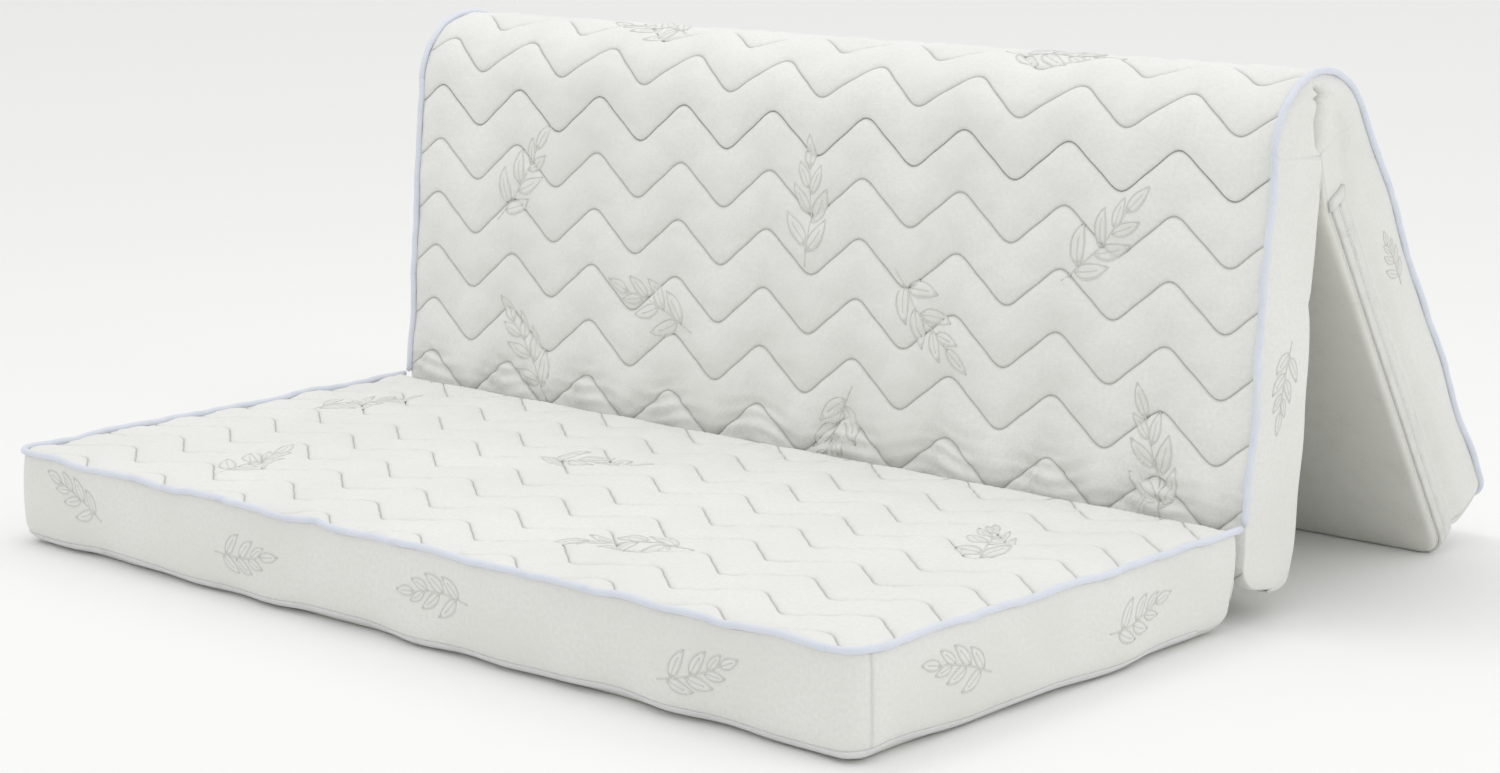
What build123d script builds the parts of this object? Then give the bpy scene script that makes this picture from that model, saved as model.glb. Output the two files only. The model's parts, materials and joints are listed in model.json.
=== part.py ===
from build123d import *
import math
import os

# Fold-out futon mattress, standing in its sofa fold: seat flat on the floor, back upright,
# rear section leaning down to the floor behind. Millimetres, +Z up, X along the long side.
#
# Every section is drawn lying flat: x along the long side, u along the fold-out length
# (drawn on Y), w from the underside to the quilted face (drawn on Z). It is then turned
# about X to its place in the sofa fold.

# ---- driving dimensions -----------------------------------------------------------------
THICK = 118.0            # underside to quilted face
WIDTH = 1388.0           # between the end bands, without the piping
SEAT_LEN = 640.0         # seat, front band to fold
BACK_LEN = 484.0         # back, lower end to the plane of the top fold
REAR_LEN = 591.7         # rear section, plane of the top fold to the free end

BACK_LEAN = 5.5          # degrees that the back leans from the vertical
REAR_LEAN = 31.2         # degrees that the rear section leans from the vertical
BACK_GAP = 3.0           # seat end to the lower quilted edge of the back
BACK_LIFT = 42.0         # height of the lower quilted edge of the back
FLAT_GAP = 2.0           # seat end to back end when the mattress is opened flat

CLOTH = 3.5              # plain cover cloth with its lining
TICKING = 6.0            # quilted top panel
WADDING = 12.0           # fibre pad under the top panel

PLAN_CORNER = 30.0       # rounding of the free corners, seen from above
EDGE_ROUND = 26.0        # rounding of the bottom edges of seat and back
REAR_EDGE = 8.0          # rounding of the bottom edges of the rear section
SEAT_FOLD_ROUND = 24.0   # quilted edge of the seat where it meets the back
SEAT_HEEL_ROUND = 32.0   # bottom edge of the seat's fold end
SEAT_UNDERCUT = 13.0     # the seat end slopes in by this much at the floor
BACK_TOE_ROUND = 36.0    # lower quilted edge of the back
BACK_HEEL_ROUND = 45.0   # lower rear edge of the back

FOLD_DEPTH = 96.0        # top fold's hinge line, below the quilted faces
FOLD_CLEAR = 0.5         # each section's clearance from the plane it folds against
FOLD_TRIM = 0.6          # degrees left free at each side of the top fold's soft wedge

PIPING_R = 4.5           # covered cord in the top seam
PIPING_OUT = 1.5         # its centre, outside the band
PIPING_DOWN = 2.0        # its centre, below the quilted face

BINDING_THICK = 1.0      # flat tape on the bottom seam of the seat
BINDING_LOW = 5.0
BINDING_HIGH = 15.0

ZIP_TAPE_THICK = 1.2     # woven tape of the zip
ZIP_TAPE_LOW = 9.0
ZIP_TAPE_HIGH = 37.0
ZIP_COIL_PROUD = 2.2     # coil above the tape
ZIP_COIL_LOW = 20.0
ZIP_COIL_HIGH = 26.0
ZIP_START = 70.0         # distance of the zip's upper ends from the top fold
ZIP_STOP_LEN = 6.0

SLIDER_FROM_END = 66.0   # slider's middle to the rear section's free end
SLIDER_LEN = 16.0
SLIDER_WIDE = 13.0
SLIDER_CLEAR = 0.4       # air between the slider and the zip
SLIDER_WALL = 2.2
LUG_HIGH = 5.6
LUG_WIDE = 1.6
PIN_R = 0.9
PULL_LEN = 30.0
PULL_WIDE = 6.0
PULL_THICK = 1.8
PULL_EYE_CLEAR = 0.35
PULL_EYE_WALL = 1.1

WEB_THICK = 1.2          # cloth doubled into the crease between seat and back
WEB_LOW = 58.0
WEB_HIGH = 92.0

BIG = 3000.0             # larger than the mattress

# ---- places that follow -----------------------------------------------------------------
HALF = WIDTH / 2
LEAN_B = math.radians(BACK_LEAN)
LEAN_R = math.radians(REAR_LEAN)
TOE_Y = SEAT_LEN + BACK_GAP
HINGE_Y = TOE_Y + BACK_LEN * math.sin(LEAN_B) + FOLD_DEPTH * math.cos(LEAN_B)
HINGE_Z = BACK_LIFT + BACK_LEN * math.cos(LEAN_B) - FOLD_DEPTH * math.sin(LEAN_B)
HINGE_W = THICK - FOLD_DEPTH
FOLD_ANGLE = 180 - BACK_LEAN - REAR_LEAN
NOTCH_HALF = math.radians((BACK_LEAN + REAR_LEAN) / 2)

BACK_PLACE = Location(
    (0, TOE_Y + THICK * math.cos(LEAN_B), BACK_LIFT - THICK * math.sin(LEAN_B)),
    (90 - BACK_LEAN, 0, 0),
)
REAR_PLACE = Location(
    (0, HINGE_Y - HINGE_W * math.cos(LEAN_R), HINGE_Z - HINGE_W * math.sin(LEAN_R)),
    (REAR_LEAN - 90, 0, 0),
)


def slab(x0, x1, u0, u1, w0, w1):
    """A box between two corners, used to divide a section."""
    box = Box(x1 - x0, u1 - u0, w1 - w0, align=(Align.MIN, Align.MIN, Align.MIN))
    return Pos(x0, u0, w0) * box


def rounded(points, radii):
    """A flat outline through the points, each corner rounded by its own radius."""
    face = make_face(Polyline(*points, close=True))
    for point, radius in zip(points, radii):
        if radius > 0:
            corner = face.vertices().sort_by_distance((point[0], point[1], 0))[0]
            face = fillet(corner, radius)
    return face


def grown(face, amount):
    """The outline moved outwards by the amount, or inwards where it is negative."""
    return face if amount == 0 else offset(face, amount, kind=Kind.INTERSECTION)


def block(plan, edge, side, amount):
    """A slab of the plan's outline with rounded bottom edges, grown by the amount.

    side is None, or the outline seen along x, (u, w), that also bounds the slab.
    """
    base = Pos(0, 0, -amount) * grown(plan, amount)
    shape = extrude(base, THICK + 2 * amount)
    shape = fillet(shape.edges().group_by(Axis.Z)[0], edge + amount)
    if side is not None:
        shape = shape & extrude(Plane.YZ * grown(side, amount), BIG / 2, both=True)
    return shape


def end_keeper(end_u, towards):
    """The space that a section may fill beside the top fold's hinge line.

    towards is +1 for a section whose fold is at its far end and -1 for its near end.
    """
    start = FOLD_CLEAR * (1 - math.sin(NOTCH_HALF)) / math.cos(NOTCH_HALF)
    knee_w = HINGE_W + FOLD_CLEAR * math.cos(NOTCH_HALF) - start * math.sin(NOTCH_HALF)
    run = 200.0
    points = [
        (end_u - towards * BIG / 2, THICK + run),
        (end_u - towards * FOLD_CLEAR, THICK + run),
        (end_u - towards * FOLD_CLEAR, knee_w),
        (end_u - towards * (FOLD_CLEAR + run), knee_w - run * math.tan(NOTCH_HALF)),
        (end_u - towards * BIG / 2, knee_w - run * math.tan(NOTCH_HALF)),
    ]
    return extrude(Plane.YZ * make_face(Polyline(*points, close=True)), BIG / 2, both=True)


def plan_outline(near, far, near_corner, far_corner):
    """Seen from above."""
    points = [(-HALF, near), (HALF, near), (HALF, far), (-HALF, far)]
    return rounded(points, [near_corner, near_corner, far_corner, far_corner])


class Section:
    """One of the three sections, cut into the pieces of its cover and filling."""

    def __init__(self, name, plan, edge, side=None, keeper=None):
        self.name = name
        self.plan = plan
        self.edge = edge
        self.side = side
        self.keeper = keeper
        self.outer = self.solid(0)
        self.inner = self.solid(-CLOTH) & slab(-BIG, BIG, -BIG, BIG, -BIG, THICK - TICKING)
        self.shell = self.outer - self.inner

    def solid(self, amount):
        """The section's own shape, grown or shrunk, and kept clear of the top fold."""
        shape = block(self.plan, self.edge, self.side, amount)
        return shape if self.keeper is None else shape & self.keeper

    def filling(self):
        """Foam core, and the wadding that lies on it."""
        top = THICK - TICKING
        split = top - WADDING
        return {
            f"{self.name}_foam_core": self.inner & slab(-BIG, BIG, -BIG, BIG, -BIG, split),
            f"{self.name}_wadding": self.inner & slab(-BIG, BIG, -BIG, BIG, split, top),
        }

    def cover(self, band_ends, fold_ends):
        """Quilted top, bands and underside, cut from the shell.

        band_ends and fold_ends map a name to the (u0, u1) range where that end is.
        """
        top = THICK - TICKING
        seam_x = HALF - max(self.edge, CLOTH + 1)
        middle = THICK / 2
        pieces = {
            f"{self.name}_left_band": self.shell & slab(-BIG, -seam_x, -BIG, BIG, -BIG, top),
            f"{self.name}_right_band": self.shell & slab(seam_x, BIG, -BIG, BIG, -BIG, top),
        }
        ticking = self.shell & slab(-BIG, BIG, -BIG, BIG, top, BIG)
        underside = self.shell & slab(-seam_x, seam_x, -BIG, BIG, -BIG, top)
        for end, (u0, u1) in band_ends.items():
            strip = slab(-seam_x, seam_x, u0, u1, -BIG, top)
            pieces[f"{self.name}_{end}_band"] = self.shell & strip
            underside = underside - strip
        for u0, u1 in fold_ends:
            upper = slab(-seam_x, seam_x, u0, u1, middle, top)
            ticking = ticking + (self.shell & upper)
            underside = underside - upper
        pieces[f"{self.name}_ticking"] = ticking
        pieces[f"{self.name}_underside"] = underside
        return pieces

    def strip_round(self, low, high, start, end, inner_proud, outer_proud):
        """A strip that lies round the outside of the bands, between two heights."""
        ring = self.solid(outer_proud) - self.solid(inner_proud)
        return ring & slab(-BIG, BIG, start, end, low, high)


def piping_run(points, radius_at_corners):
    """The covered cord along the top seam, through the points given as (x, u)."""
    w = THICK - PIPING_DOWN
    path_points = [(x, u, w) for x, u in points]
    if len(points) > 2:
        path = FilletPolyline(*path_points, radius=radius_at_corners)
    else:
        path = Line(*path_points)
    start = Plane(origin=path @ 0, z_dir=path % 0)
    return sweep(start * Circle(PIPING_R), path=path)


# ---- sections ---------------------------------------------------------------------------
seat = Section(
    "seat",
    plan_outline(0, SEAT_LEN + 100, PLAN_CORNER, 0),
    EDGE_ROUND,
    rounded(
        [(-100, -100), (-100, THICK), (SEAT_LEN, THICK), (SEAT_LEN - SEAT_UNDERCUT, 0), (0, 0)],
        [0, 0, SEAT_FOLD_ROUND, SEAT_HEEL_ROUND, 0],
    ),
)
back = Section(
    "back",
    plan_outline(-100, BACK_LEN + 200, 0, 0),
    EDGE_ROUND,
    rounded(
        [(0, 0), (0, THICK), (BACK_LEN + 100, THICK), (BACK_LEN + 100, 0)],
        [BACK_HEEL_ROUND, BACK_TOE_ROUND, 0, 0],
    ),
    end_keeper(BACK_LEN, 1),
)
rear = Section(
    "rear",
    plan_outline(-200, REAR_LEN, 0, PLAN_CORNER),
    REAR_EDGE,
    None,
    end_keeper(0, -1),
)

PIPE_X = HALF + PIPING_OUT


def seat_pieces():
    pieces = seat.filling()
    pieces |= seat.cover({"front": (-BIG, EDGE_ROUND)}, [(SEAT_LEN - SEAT_FOLD_ROUND, BIG)])
    run = [
        (-PIPE_X, SEAT_LEN - SEAT_FOLD_ROUND),
        (-PIPE_X, -PIPING_OUT),
        (PIPE_X, -PIPING_OUT),
        (PIPE_X, SEAT_LEN - SEAT_FOLD_ROUND),
    ]
    pieces["seat_piping"] = piping_run(run, PLAN_CORNER + PIPING_OUT) - seat.outer
    pieces["seat_bottom_binding"] = seat.strip_round(
        BINDING_LOW, BINDING_HIGH, -BIG, SEAT_LEN - 2 * EDGE_ROUND, 0, BINDING_THICK
    )
    return pieces


def back_pieces():
    pieces = back.filling()
    pieces |= back.cover({}, [(-BIG, BACK_TOE_ROUND)])
    for side, x in (("left", -PIPE_X), ("right", PIPE_X)):
        cord = piping_run([(x, BACK_TOE_ROUND), (x, BACK_LEN - FOLD_CLEAR)], 0)
        pieces[f"back_{side}_piping"] = cord - back.outer
    return {name: BACK_PLACE * piece for name, piece in pieces.items()}


def rear_pieces():
    pieces = rear.filling()
    pieces |= rear.cover({"end": (REAR_LEN - CLOTH - 1, BIG)}, [])
    run = [
        (-PIPE_X, FOLD_CLEAR),
        (-PIPE_X, REAR_LEN + PIPING_OUT),
        (PIPE_X, REAR_LEN + PIPING_OUT),
        (PIPE_X, FOLD_CLEAR),
    ]
    pieces["rear_piping"] = piping_run(run, PLAN_CORNER + PIPING_OUT) - rear.outer
    top = ZIP_TAPE_THICK + ZIP_COIL_PROUD
    pieces["rear_zip_tape"] = rear.strip_round(
        ZIP_TAPE_LOW, ZIP_TAPE_HIGH, ZIP_START, BIG, 0, ZIP_TAPE_THICK
    )
    pieces["rear_zip_coil"] = rear.strip_round(
        ZIP_COIL_LOW, ZIP_COIL_HIGH, ZIP_START + ZIP_STOP_LEN, BIG, ZIP_TAPE_THICK, top
    )
    pieces["rear_zip_stop"] = rear.strip_round(
        ZIP_COIL_LOW, ZIP_COIL_HIGH, ZIP_START, ZIP_START + ZIP_STOP_LEN, ZIP_TAPE_THICK, top
    )
    pieces |= slider_pieces()
    return {name: REAR_PLACE * piece for name, piece in pieces.items()}


def slider_pieces():
    """Zip slider and its pull, on the left end, with the pull lying down the zip."""
    mid_u = REAR_LEN - SLIDER_FROM_END
    mid_w = (ZIP_COIL_LOW + ZIP_COIL_HIGH) / 2
    u0, u1 = mid_u - SLIDER_LEN / 2, mid_u + SLIDER_LEN / 2
    w0, w1 = mid_w - SLIDER_WIDE / 2, mid_w + SLIDER_WIDE / 2
    foot = -HALF - ZIP_TAPE_THICK - SLIDER_CLEAR
    roof = -HALF - ZIP_TAPE_THICK - ZIP_COIL_PROUD - SLIDER_CLEAR
    face = roof - SLIDER_WALL
    groove = slab(
        roof, foot, u0, u1, ZIP_COIL_LOW - SLIDER_CLEAR, ZIP_COIL_HIGH + SLIDER_CLEAR
    )
    body = slab(face, foot, u0, u1, w0, w1)
    rims = body.edges().filter_by(Axis.X)
    body = fillet(rims, SLIDER_WIDE / 4) - groove
    pin_x = face - LUG_HIGH / 2
    pull_half = PULL_WIDE / 2
    for sign in (-1, 1):
        near = pull_half + PULL_EYE_CLEAR
        low = mid_w + sign * (near + LUG_WIDE / 2) - LUG_WIDE / 2
        lug = slab(face - LUG_HIGH, face, mid_u - 3, mid_u + 3, low, low + LUG_WIDE)
        body = body + lug
    pin = Pos(pin_x, mid_u, mid_w) * Cylinder(PIN_R, PULL_WIDE + 2 * PULL_EYE_CLEAR + LUG_WIDE)
    eye_r = PIN_R + PULL_EYE_CLEAR
    hub = Pos(pin_x, mid_u, mid_w) * Cylinder(eye_r + PULL_EYE_WALL, PULL_WIDE)
    reach = eye_r + PULL_EYE_WALL / 2
    tab = slab(
        pin_x - PULL_THICK / 2,
        pin_x + PULL_THICK / 2,
        mid_u + reach,
        mid_u + PULL_LEN,
        mid_w - pull_half,
        mid_w + pull_half,
    )
    tab = fillet(tab.edges().filter_by(Axis.X).sort_by(Axis.Y)[-2:], PULL_WIDE / 2 - 0.2)
    eye = Pos(pin_x, mid_u, mid_w) * Cylinder(eye_r, PULL_WIDE + 2)
    return {"zip_slider": body + pin, "zip_pull": hub + tab - eye}


def sector(radius, x0, x1):
    """The wedge of the top fold about its hinge line, from the back round to the rear."""
    start = 180 - BACK_LEAN
    plane = Plane(origin=(x0, HINGE_Y, HINGE_Z), x_dir=(0, 1, 0), z_dir=(1, 0, 0))
    edge_a = math.radians(start - FOLD_TRIM)
    edge_b = math.radians(start - FOLD_ANGLE + FOLD_TRIM)
    middle = (edge_a + edge_b) / 2
    rim = [(radius * math.cos(a), radius * math.sin(a)) for a in (edge_a, middle, edge_b)]
    centre = (2 * FOLD_CLEAR * math.cos(middle), 2 * FOLD_CLEAR * math.sin(middle))
    outline = Line(centre, rim[0]) + ThreePointArc(*rim) + Line(rim[2], centre)
    return extrude(plane * make_face(outline), x1 - x0)


def fold_pieces():
    """The soft dome over the top fold, and the cloth tucked into the seat's crease."""
    inner_r = FOLD_DEPTH - TICKING
    core = sector(inner_r, -HALF, HALF)
    skin = sector(FOLD_DEPTH, -HALF, HALF) - sector(inner_r, -HALF, HALF)
    axis = Axis((0, HINGE_Y, HINGE_Z), (1, 0, 0))
    lean = math.radians(REAR_LEAN + FOLD_TRIM)
    path_r = FOLD_DEPTH - PIPING_DOWN
    cords = []
    for x in (-PIPE_X, PIPE_X):
        middle = (x, HINGE_Y + path_r * math.cos(lean), HINGE_Z + path_r * math.sin(lean))
        start = Plane(origin=middle, x_dir=(1, 0, 0), z_dir=(0, -math.sin(lean), math.cos(lean)))
        cord = revolve(start * Circle(PIPING_R), axis, FOLD_ANGLE - 2 * FOLD_TRIM)
        cords += (cord - skin - core).solids()
    web_y = SEAT_LEN + (BACK_GAP - WEB_THICK) / 2
    web = slab(-HALF + EDGE_ROUND, HALF - EDGE_ROUND, web_y, web_y + WEB_THICK, WEB_LOW, WEB_HIGH)
    return {
        "mountain_fold_wadding": core,
        "mountain_fold_ticking": skin,
        "mountain_fold_piping": Compound(cords),
        "valley_fold_web": web,
    }


def main():
    pieces = seat_pieces() | back_pieces() | rear_pieces() | fold_pieces()
    whole = Compound([s for piece in pieces.values() for s in piece.solids()])
    box = whole.bounding_box()
    shift = Pos(-box.center().X, -box.center().Y, -box.min.Z)
    os.makedirs("parts", exist_ok=True)
    for name, piece in pieces.items():
        solids = [shift * s for s in piece.solids()]
        export_step(solids[0] if len(solids) == 1 else Compound(solids), f"parts/{name}.step")
    print("box", box.size, "shift", -box.center().Y, -box.min.Z)
    print("shift", -box.center().X, -box.center().Y, -box.min.Z)


main()
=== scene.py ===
"""Looks for a three-section quilted futon mattress standing in its sofa fold.

Every length is in metres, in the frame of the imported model.  The cover is worked out in cloth
coordinates (x, s): x along the long side and s along the quilted face, as a Run draws it across
the seat, or up the back, over the top fold and down the rear section.  A lift is measured
outwards from that line.
"""

import json
import logging
import math
from dataclasses import dataclass, field
from enum import Enum

import bmesh
import bpy
import numpy as np
from mathutils import Matrix, Vector
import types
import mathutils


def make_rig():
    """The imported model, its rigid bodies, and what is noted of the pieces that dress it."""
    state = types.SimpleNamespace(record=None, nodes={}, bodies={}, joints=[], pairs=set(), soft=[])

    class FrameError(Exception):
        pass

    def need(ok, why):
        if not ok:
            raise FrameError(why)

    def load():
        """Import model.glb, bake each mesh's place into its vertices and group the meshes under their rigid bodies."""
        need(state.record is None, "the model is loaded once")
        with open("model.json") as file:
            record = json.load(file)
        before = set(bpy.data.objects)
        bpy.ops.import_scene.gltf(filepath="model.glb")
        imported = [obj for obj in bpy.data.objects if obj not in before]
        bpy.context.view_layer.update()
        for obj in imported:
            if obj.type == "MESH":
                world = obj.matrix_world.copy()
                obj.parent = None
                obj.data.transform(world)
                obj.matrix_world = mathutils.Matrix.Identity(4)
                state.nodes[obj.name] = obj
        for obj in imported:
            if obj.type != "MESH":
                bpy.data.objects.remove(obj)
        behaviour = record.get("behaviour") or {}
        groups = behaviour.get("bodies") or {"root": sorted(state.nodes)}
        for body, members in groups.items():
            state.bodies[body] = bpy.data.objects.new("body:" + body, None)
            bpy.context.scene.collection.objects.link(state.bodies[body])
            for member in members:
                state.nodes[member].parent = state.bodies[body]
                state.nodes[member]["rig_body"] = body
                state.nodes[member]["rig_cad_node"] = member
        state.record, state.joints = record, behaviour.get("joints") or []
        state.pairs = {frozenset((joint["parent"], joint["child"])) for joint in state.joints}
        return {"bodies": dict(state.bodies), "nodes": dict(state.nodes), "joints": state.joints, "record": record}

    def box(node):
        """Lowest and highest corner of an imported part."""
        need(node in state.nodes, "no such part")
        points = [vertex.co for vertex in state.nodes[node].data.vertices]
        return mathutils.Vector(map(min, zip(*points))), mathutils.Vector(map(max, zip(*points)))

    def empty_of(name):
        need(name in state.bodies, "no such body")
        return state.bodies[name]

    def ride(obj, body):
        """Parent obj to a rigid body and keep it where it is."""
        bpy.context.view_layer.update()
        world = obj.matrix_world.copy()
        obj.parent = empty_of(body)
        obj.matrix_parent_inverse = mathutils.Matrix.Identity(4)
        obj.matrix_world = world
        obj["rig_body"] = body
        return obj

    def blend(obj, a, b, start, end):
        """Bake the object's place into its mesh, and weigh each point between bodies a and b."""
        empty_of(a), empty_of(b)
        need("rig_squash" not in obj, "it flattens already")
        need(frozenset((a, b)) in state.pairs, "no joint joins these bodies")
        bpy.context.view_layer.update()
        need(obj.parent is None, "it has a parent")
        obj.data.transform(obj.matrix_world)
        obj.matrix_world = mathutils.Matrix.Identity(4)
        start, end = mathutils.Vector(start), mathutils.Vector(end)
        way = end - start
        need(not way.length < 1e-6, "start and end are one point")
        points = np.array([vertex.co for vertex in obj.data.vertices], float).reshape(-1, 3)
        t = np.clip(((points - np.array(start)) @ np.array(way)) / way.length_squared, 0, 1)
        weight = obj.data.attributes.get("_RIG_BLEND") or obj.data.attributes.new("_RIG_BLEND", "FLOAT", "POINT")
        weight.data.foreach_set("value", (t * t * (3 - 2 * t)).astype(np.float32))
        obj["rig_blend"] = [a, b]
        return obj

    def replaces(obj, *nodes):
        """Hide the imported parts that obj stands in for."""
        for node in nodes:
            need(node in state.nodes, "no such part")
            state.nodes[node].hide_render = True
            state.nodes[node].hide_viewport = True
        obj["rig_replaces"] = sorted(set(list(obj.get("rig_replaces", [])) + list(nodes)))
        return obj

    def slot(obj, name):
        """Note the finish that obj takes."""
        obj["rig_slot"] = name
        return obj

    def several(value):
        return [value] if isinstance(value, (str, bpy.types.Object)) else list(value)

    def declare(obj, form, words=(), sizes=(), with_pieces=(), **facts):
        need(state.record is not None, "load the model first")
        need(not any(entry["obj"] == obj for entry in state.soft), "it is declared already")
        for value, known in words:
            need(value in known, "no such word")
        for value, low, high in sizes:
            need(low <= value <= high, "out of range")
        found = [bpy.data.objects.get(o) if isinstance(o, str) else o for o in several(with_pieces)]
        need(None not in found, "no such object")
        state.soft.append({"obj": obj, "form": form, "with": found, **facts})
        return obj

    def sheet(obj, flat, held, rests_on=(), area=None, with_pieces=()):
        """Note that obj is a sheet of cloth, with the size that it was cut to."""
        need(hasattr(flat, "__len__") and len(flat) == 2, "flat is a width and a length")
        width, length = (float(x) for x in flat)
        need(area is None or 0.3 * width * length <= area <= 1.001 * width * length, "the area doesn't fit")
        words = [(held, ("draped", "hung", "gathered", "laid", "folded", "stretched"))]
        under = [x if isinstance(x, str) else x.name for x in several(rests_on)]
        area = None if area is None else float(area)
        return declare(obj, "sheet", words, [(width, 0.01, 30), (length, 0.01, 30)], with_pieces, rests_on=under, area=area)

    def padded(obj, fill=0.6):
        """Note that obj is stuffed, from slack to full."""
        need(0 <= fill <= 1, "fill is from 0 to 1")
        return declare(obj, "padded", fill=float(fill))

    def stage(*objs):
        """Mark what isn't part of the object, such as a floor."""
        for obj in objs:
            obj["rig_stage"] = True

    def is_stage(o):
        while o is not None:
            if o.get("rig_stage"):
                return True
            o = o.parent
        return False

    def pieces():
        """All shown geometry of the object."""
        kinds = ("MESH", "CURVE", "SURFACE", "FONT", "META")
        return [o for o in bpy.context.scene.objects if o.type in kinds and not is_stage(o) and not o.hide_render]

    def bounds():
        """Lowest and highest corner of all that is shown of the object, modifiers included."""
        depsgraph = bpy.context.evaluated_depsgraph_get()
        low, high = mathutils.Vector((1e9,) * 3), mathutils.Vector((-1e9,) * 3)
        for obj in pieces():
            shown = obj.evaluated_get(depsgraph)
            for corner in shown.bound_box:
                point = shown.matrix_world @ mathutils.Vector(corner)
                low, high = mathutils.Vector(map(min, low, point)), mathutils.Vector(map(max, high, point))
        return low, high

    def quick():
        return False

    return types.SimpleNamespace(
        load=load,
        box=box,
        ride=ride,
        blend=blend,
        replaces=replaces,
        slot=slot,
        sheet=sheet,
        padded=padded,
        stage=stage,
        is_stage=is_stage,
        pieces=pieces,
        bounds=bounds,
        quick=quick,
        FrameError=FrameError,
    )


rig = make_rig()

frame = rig.load()
CAD_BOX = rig.bounds()

logging.basicConfig(level=logging.INFO, format="%(message)s")
LOG = logging.getLogger("futon")

MM = 0.001
FLOOR_NAME = "studio_floor"
FLOOR_CLEAR = 0.0003      # cloth rests flat on the floor and never below it
SIZE_FILE = "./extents.json"
SEAM_SHADE_MARK = "seam"        # point attribute, 1 on a row of stitching and 0 away from it; it paints shade into the ticking's colour there
TURN = 6.28               # radians in one turn, near enough for the phase of a pattern
RIM_REACH = 0.05          # how far in from the rim its ripples carry
FOLD_REACH = 0.02         # height over the underside where a hem has become a seam of the fold end
FULL_HEIGHT = 0.1         # a band as tall as this bulges and ripples in full


# ---- small helpers ----
class Part(Enum):
    """The three foam sections, by the name of their body."""

    SEAT = "seat"
    BACK = "back"
    REAR = "rear"


class Face(Enum):
    """A band face that takes sprigs."""

    LEFT = -1
    END = 0
    RIGHT = 1


def linear(hex_colour: str) -> tuple[float, float, float, float]:
    """Turns an sRGB hex colour into linear RGBA.

    Args:
        hex_colour: Six hex digits, such as "F0F0EE".

    Returns:
        The colour that a shader socket takes.
    """
    channels = [int(hex_colour[i : i + 2], 16) / 255 for i in (0, 2, 4)]
    decoded = [c / 12.92 if c <= 0.04045 else ((c + 0.055) / 1.055) ** 2.4 for c in channels]
    return (*decoded, 1.0)


def add_node(
    tree: bpy.types.NodeTree, kind: str, inputs: dict | None = None, **settings: object
) -> bpy.types.Node:
    """Adds a node with its settings, input values and links.

    Args:
        tree: The shader or geometry tree.
        kind: The node's bl_idname.
        inputs: Input name or index to a value, or to the output socket that feeds it.
        **settings: The node's own properties.

    Returns:
        The new node.
    """
    node = tree.nodes.new(kind)
    for key, value in settings.items():
        setattr(node, key, value)
    for key, value in (inputs or {}).items():
        if isinstance(value, bpy.types.NodeSocket):
            tree.links.new(value, node.inputs[key])
        else:
            node.inputs[key].default_value = value
    return node


def smooth(t: np.ndarray) -> np.ndarray:
    """Eases a number from 0 to 1 with level ends."""
    t = np.clip(t, 0.0, 1.0)
    return t * t * (3 - 2 * t)


def make_mesh(name: str, verts: np.ndarray, faces: list, uv: np.ndarray | None = None) -> bpy.types.Object:
    """Makes a smooth-shaded mesh object at the origin.

    Args:
        name: The piece's name.
        verts: Points, one row each.
        faces: Lists of point numbers.
        uv: A UV pair for each point, in metres of cloth, or None.

    Returns:
        The linked object.
    """
    verts = np.array(verts, float)
    if name != FLOOR_NAME:
        verts[:, 2] = np.maximum(verts[:, 2], FLOOR_CLEAR)
    mesh = bpy.data.meshes.new(name)
    mesh.from_pydata(verts.tolist(), [], [list(map(int, f)) for f in faces])
    mesh.validate()
    mesh.polygons.foreach_set("use_smooth", [True] * len(mesh.polygons))
    if uv is not None:
        layer = mesh.uv_layers.new(name="cloth")
        corner = np.zeros(len(mesh.loops), np.int32)
        mesh.loops.foreach_get("vertex_index", corner)
        layer.data.foreach_set("uv", np.asarray(uv, np.float32)[corner].ravel())
    obj = bpy.data.objects.new(name, mesh)
    bpy.context.scene.collection.objects.link(obj)
    return obj


def grid_faces(rows: int, columns: int, closed: bool = False) -> np.ndarray:
    """Makes the quads of a grid of points that is stored row by row.

    Args:
        rows: Number of rows.
        columns: Points in a row.
        closed: True where each row's ends join.

    Returns:
        Four point numbers for each quad.
    """
    index = np.arange(rows * columns).reshape(rows, columns)
    if closed:
        index = np.concatenate([index, index[:, :1]], axis=1)
    quads = np.stack([index[:-1, :-1], index[:-1, 1:], index[1:, 1:], index[1:, :-1]], -1)
    return quads.reshape(-1, 4)


def thicken(obj: bpy.types.Object, depth: float) -> None:
    """Gives an open cloth piece its thickness, inwards, as applied geometry.

    Args:
        obj: The piece.
        depth: The cloth's thickness.
    """
    solid = obj.modifiers.new("cloth thickness", "SOLIDIFY")
    solid.thickness = depth
    solid.offset = -1.0
    solid.use_even_offset = False
    bake_modifiers(obj)


def bake_modifiers(obj: bpy.types.Object) -> None:
    """Replaces a piece's mesh by its evaluated mesh and drops its modifiers.

    Args:
        obj: The piece.
    """
    graph = bpy.context.evaluated_depsgraph_get()
    made = bpy.data.meshes.new_from_object(obj.evaluated_get(graph))
    obj.modifiers.clear()
    old = obj.data
    obj.data = made
    bpy.data.meshes.remove(old)


def grow(obj: bpy.types.Object, tree: bpy.types.NodeTree, sizes: dict[str, float]) -> None:
    """Runs a geometry tree on a piece and keeps its result as a plain mesh.

    Args:
        obj: The piece, whose mesh is the tree's input.
        tree: The tree.
        sizes: Input names to their values.
    """
    modifier = obj.modifiers.new("grow", "NODES")
    modifier.node_group = tree
    for socket in tree.interface.items_tree:
        if socket.name in sizes:
            modifier[socket.identifier] = sizes[socket.name]
    bake_modifiers(obj)


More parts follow.
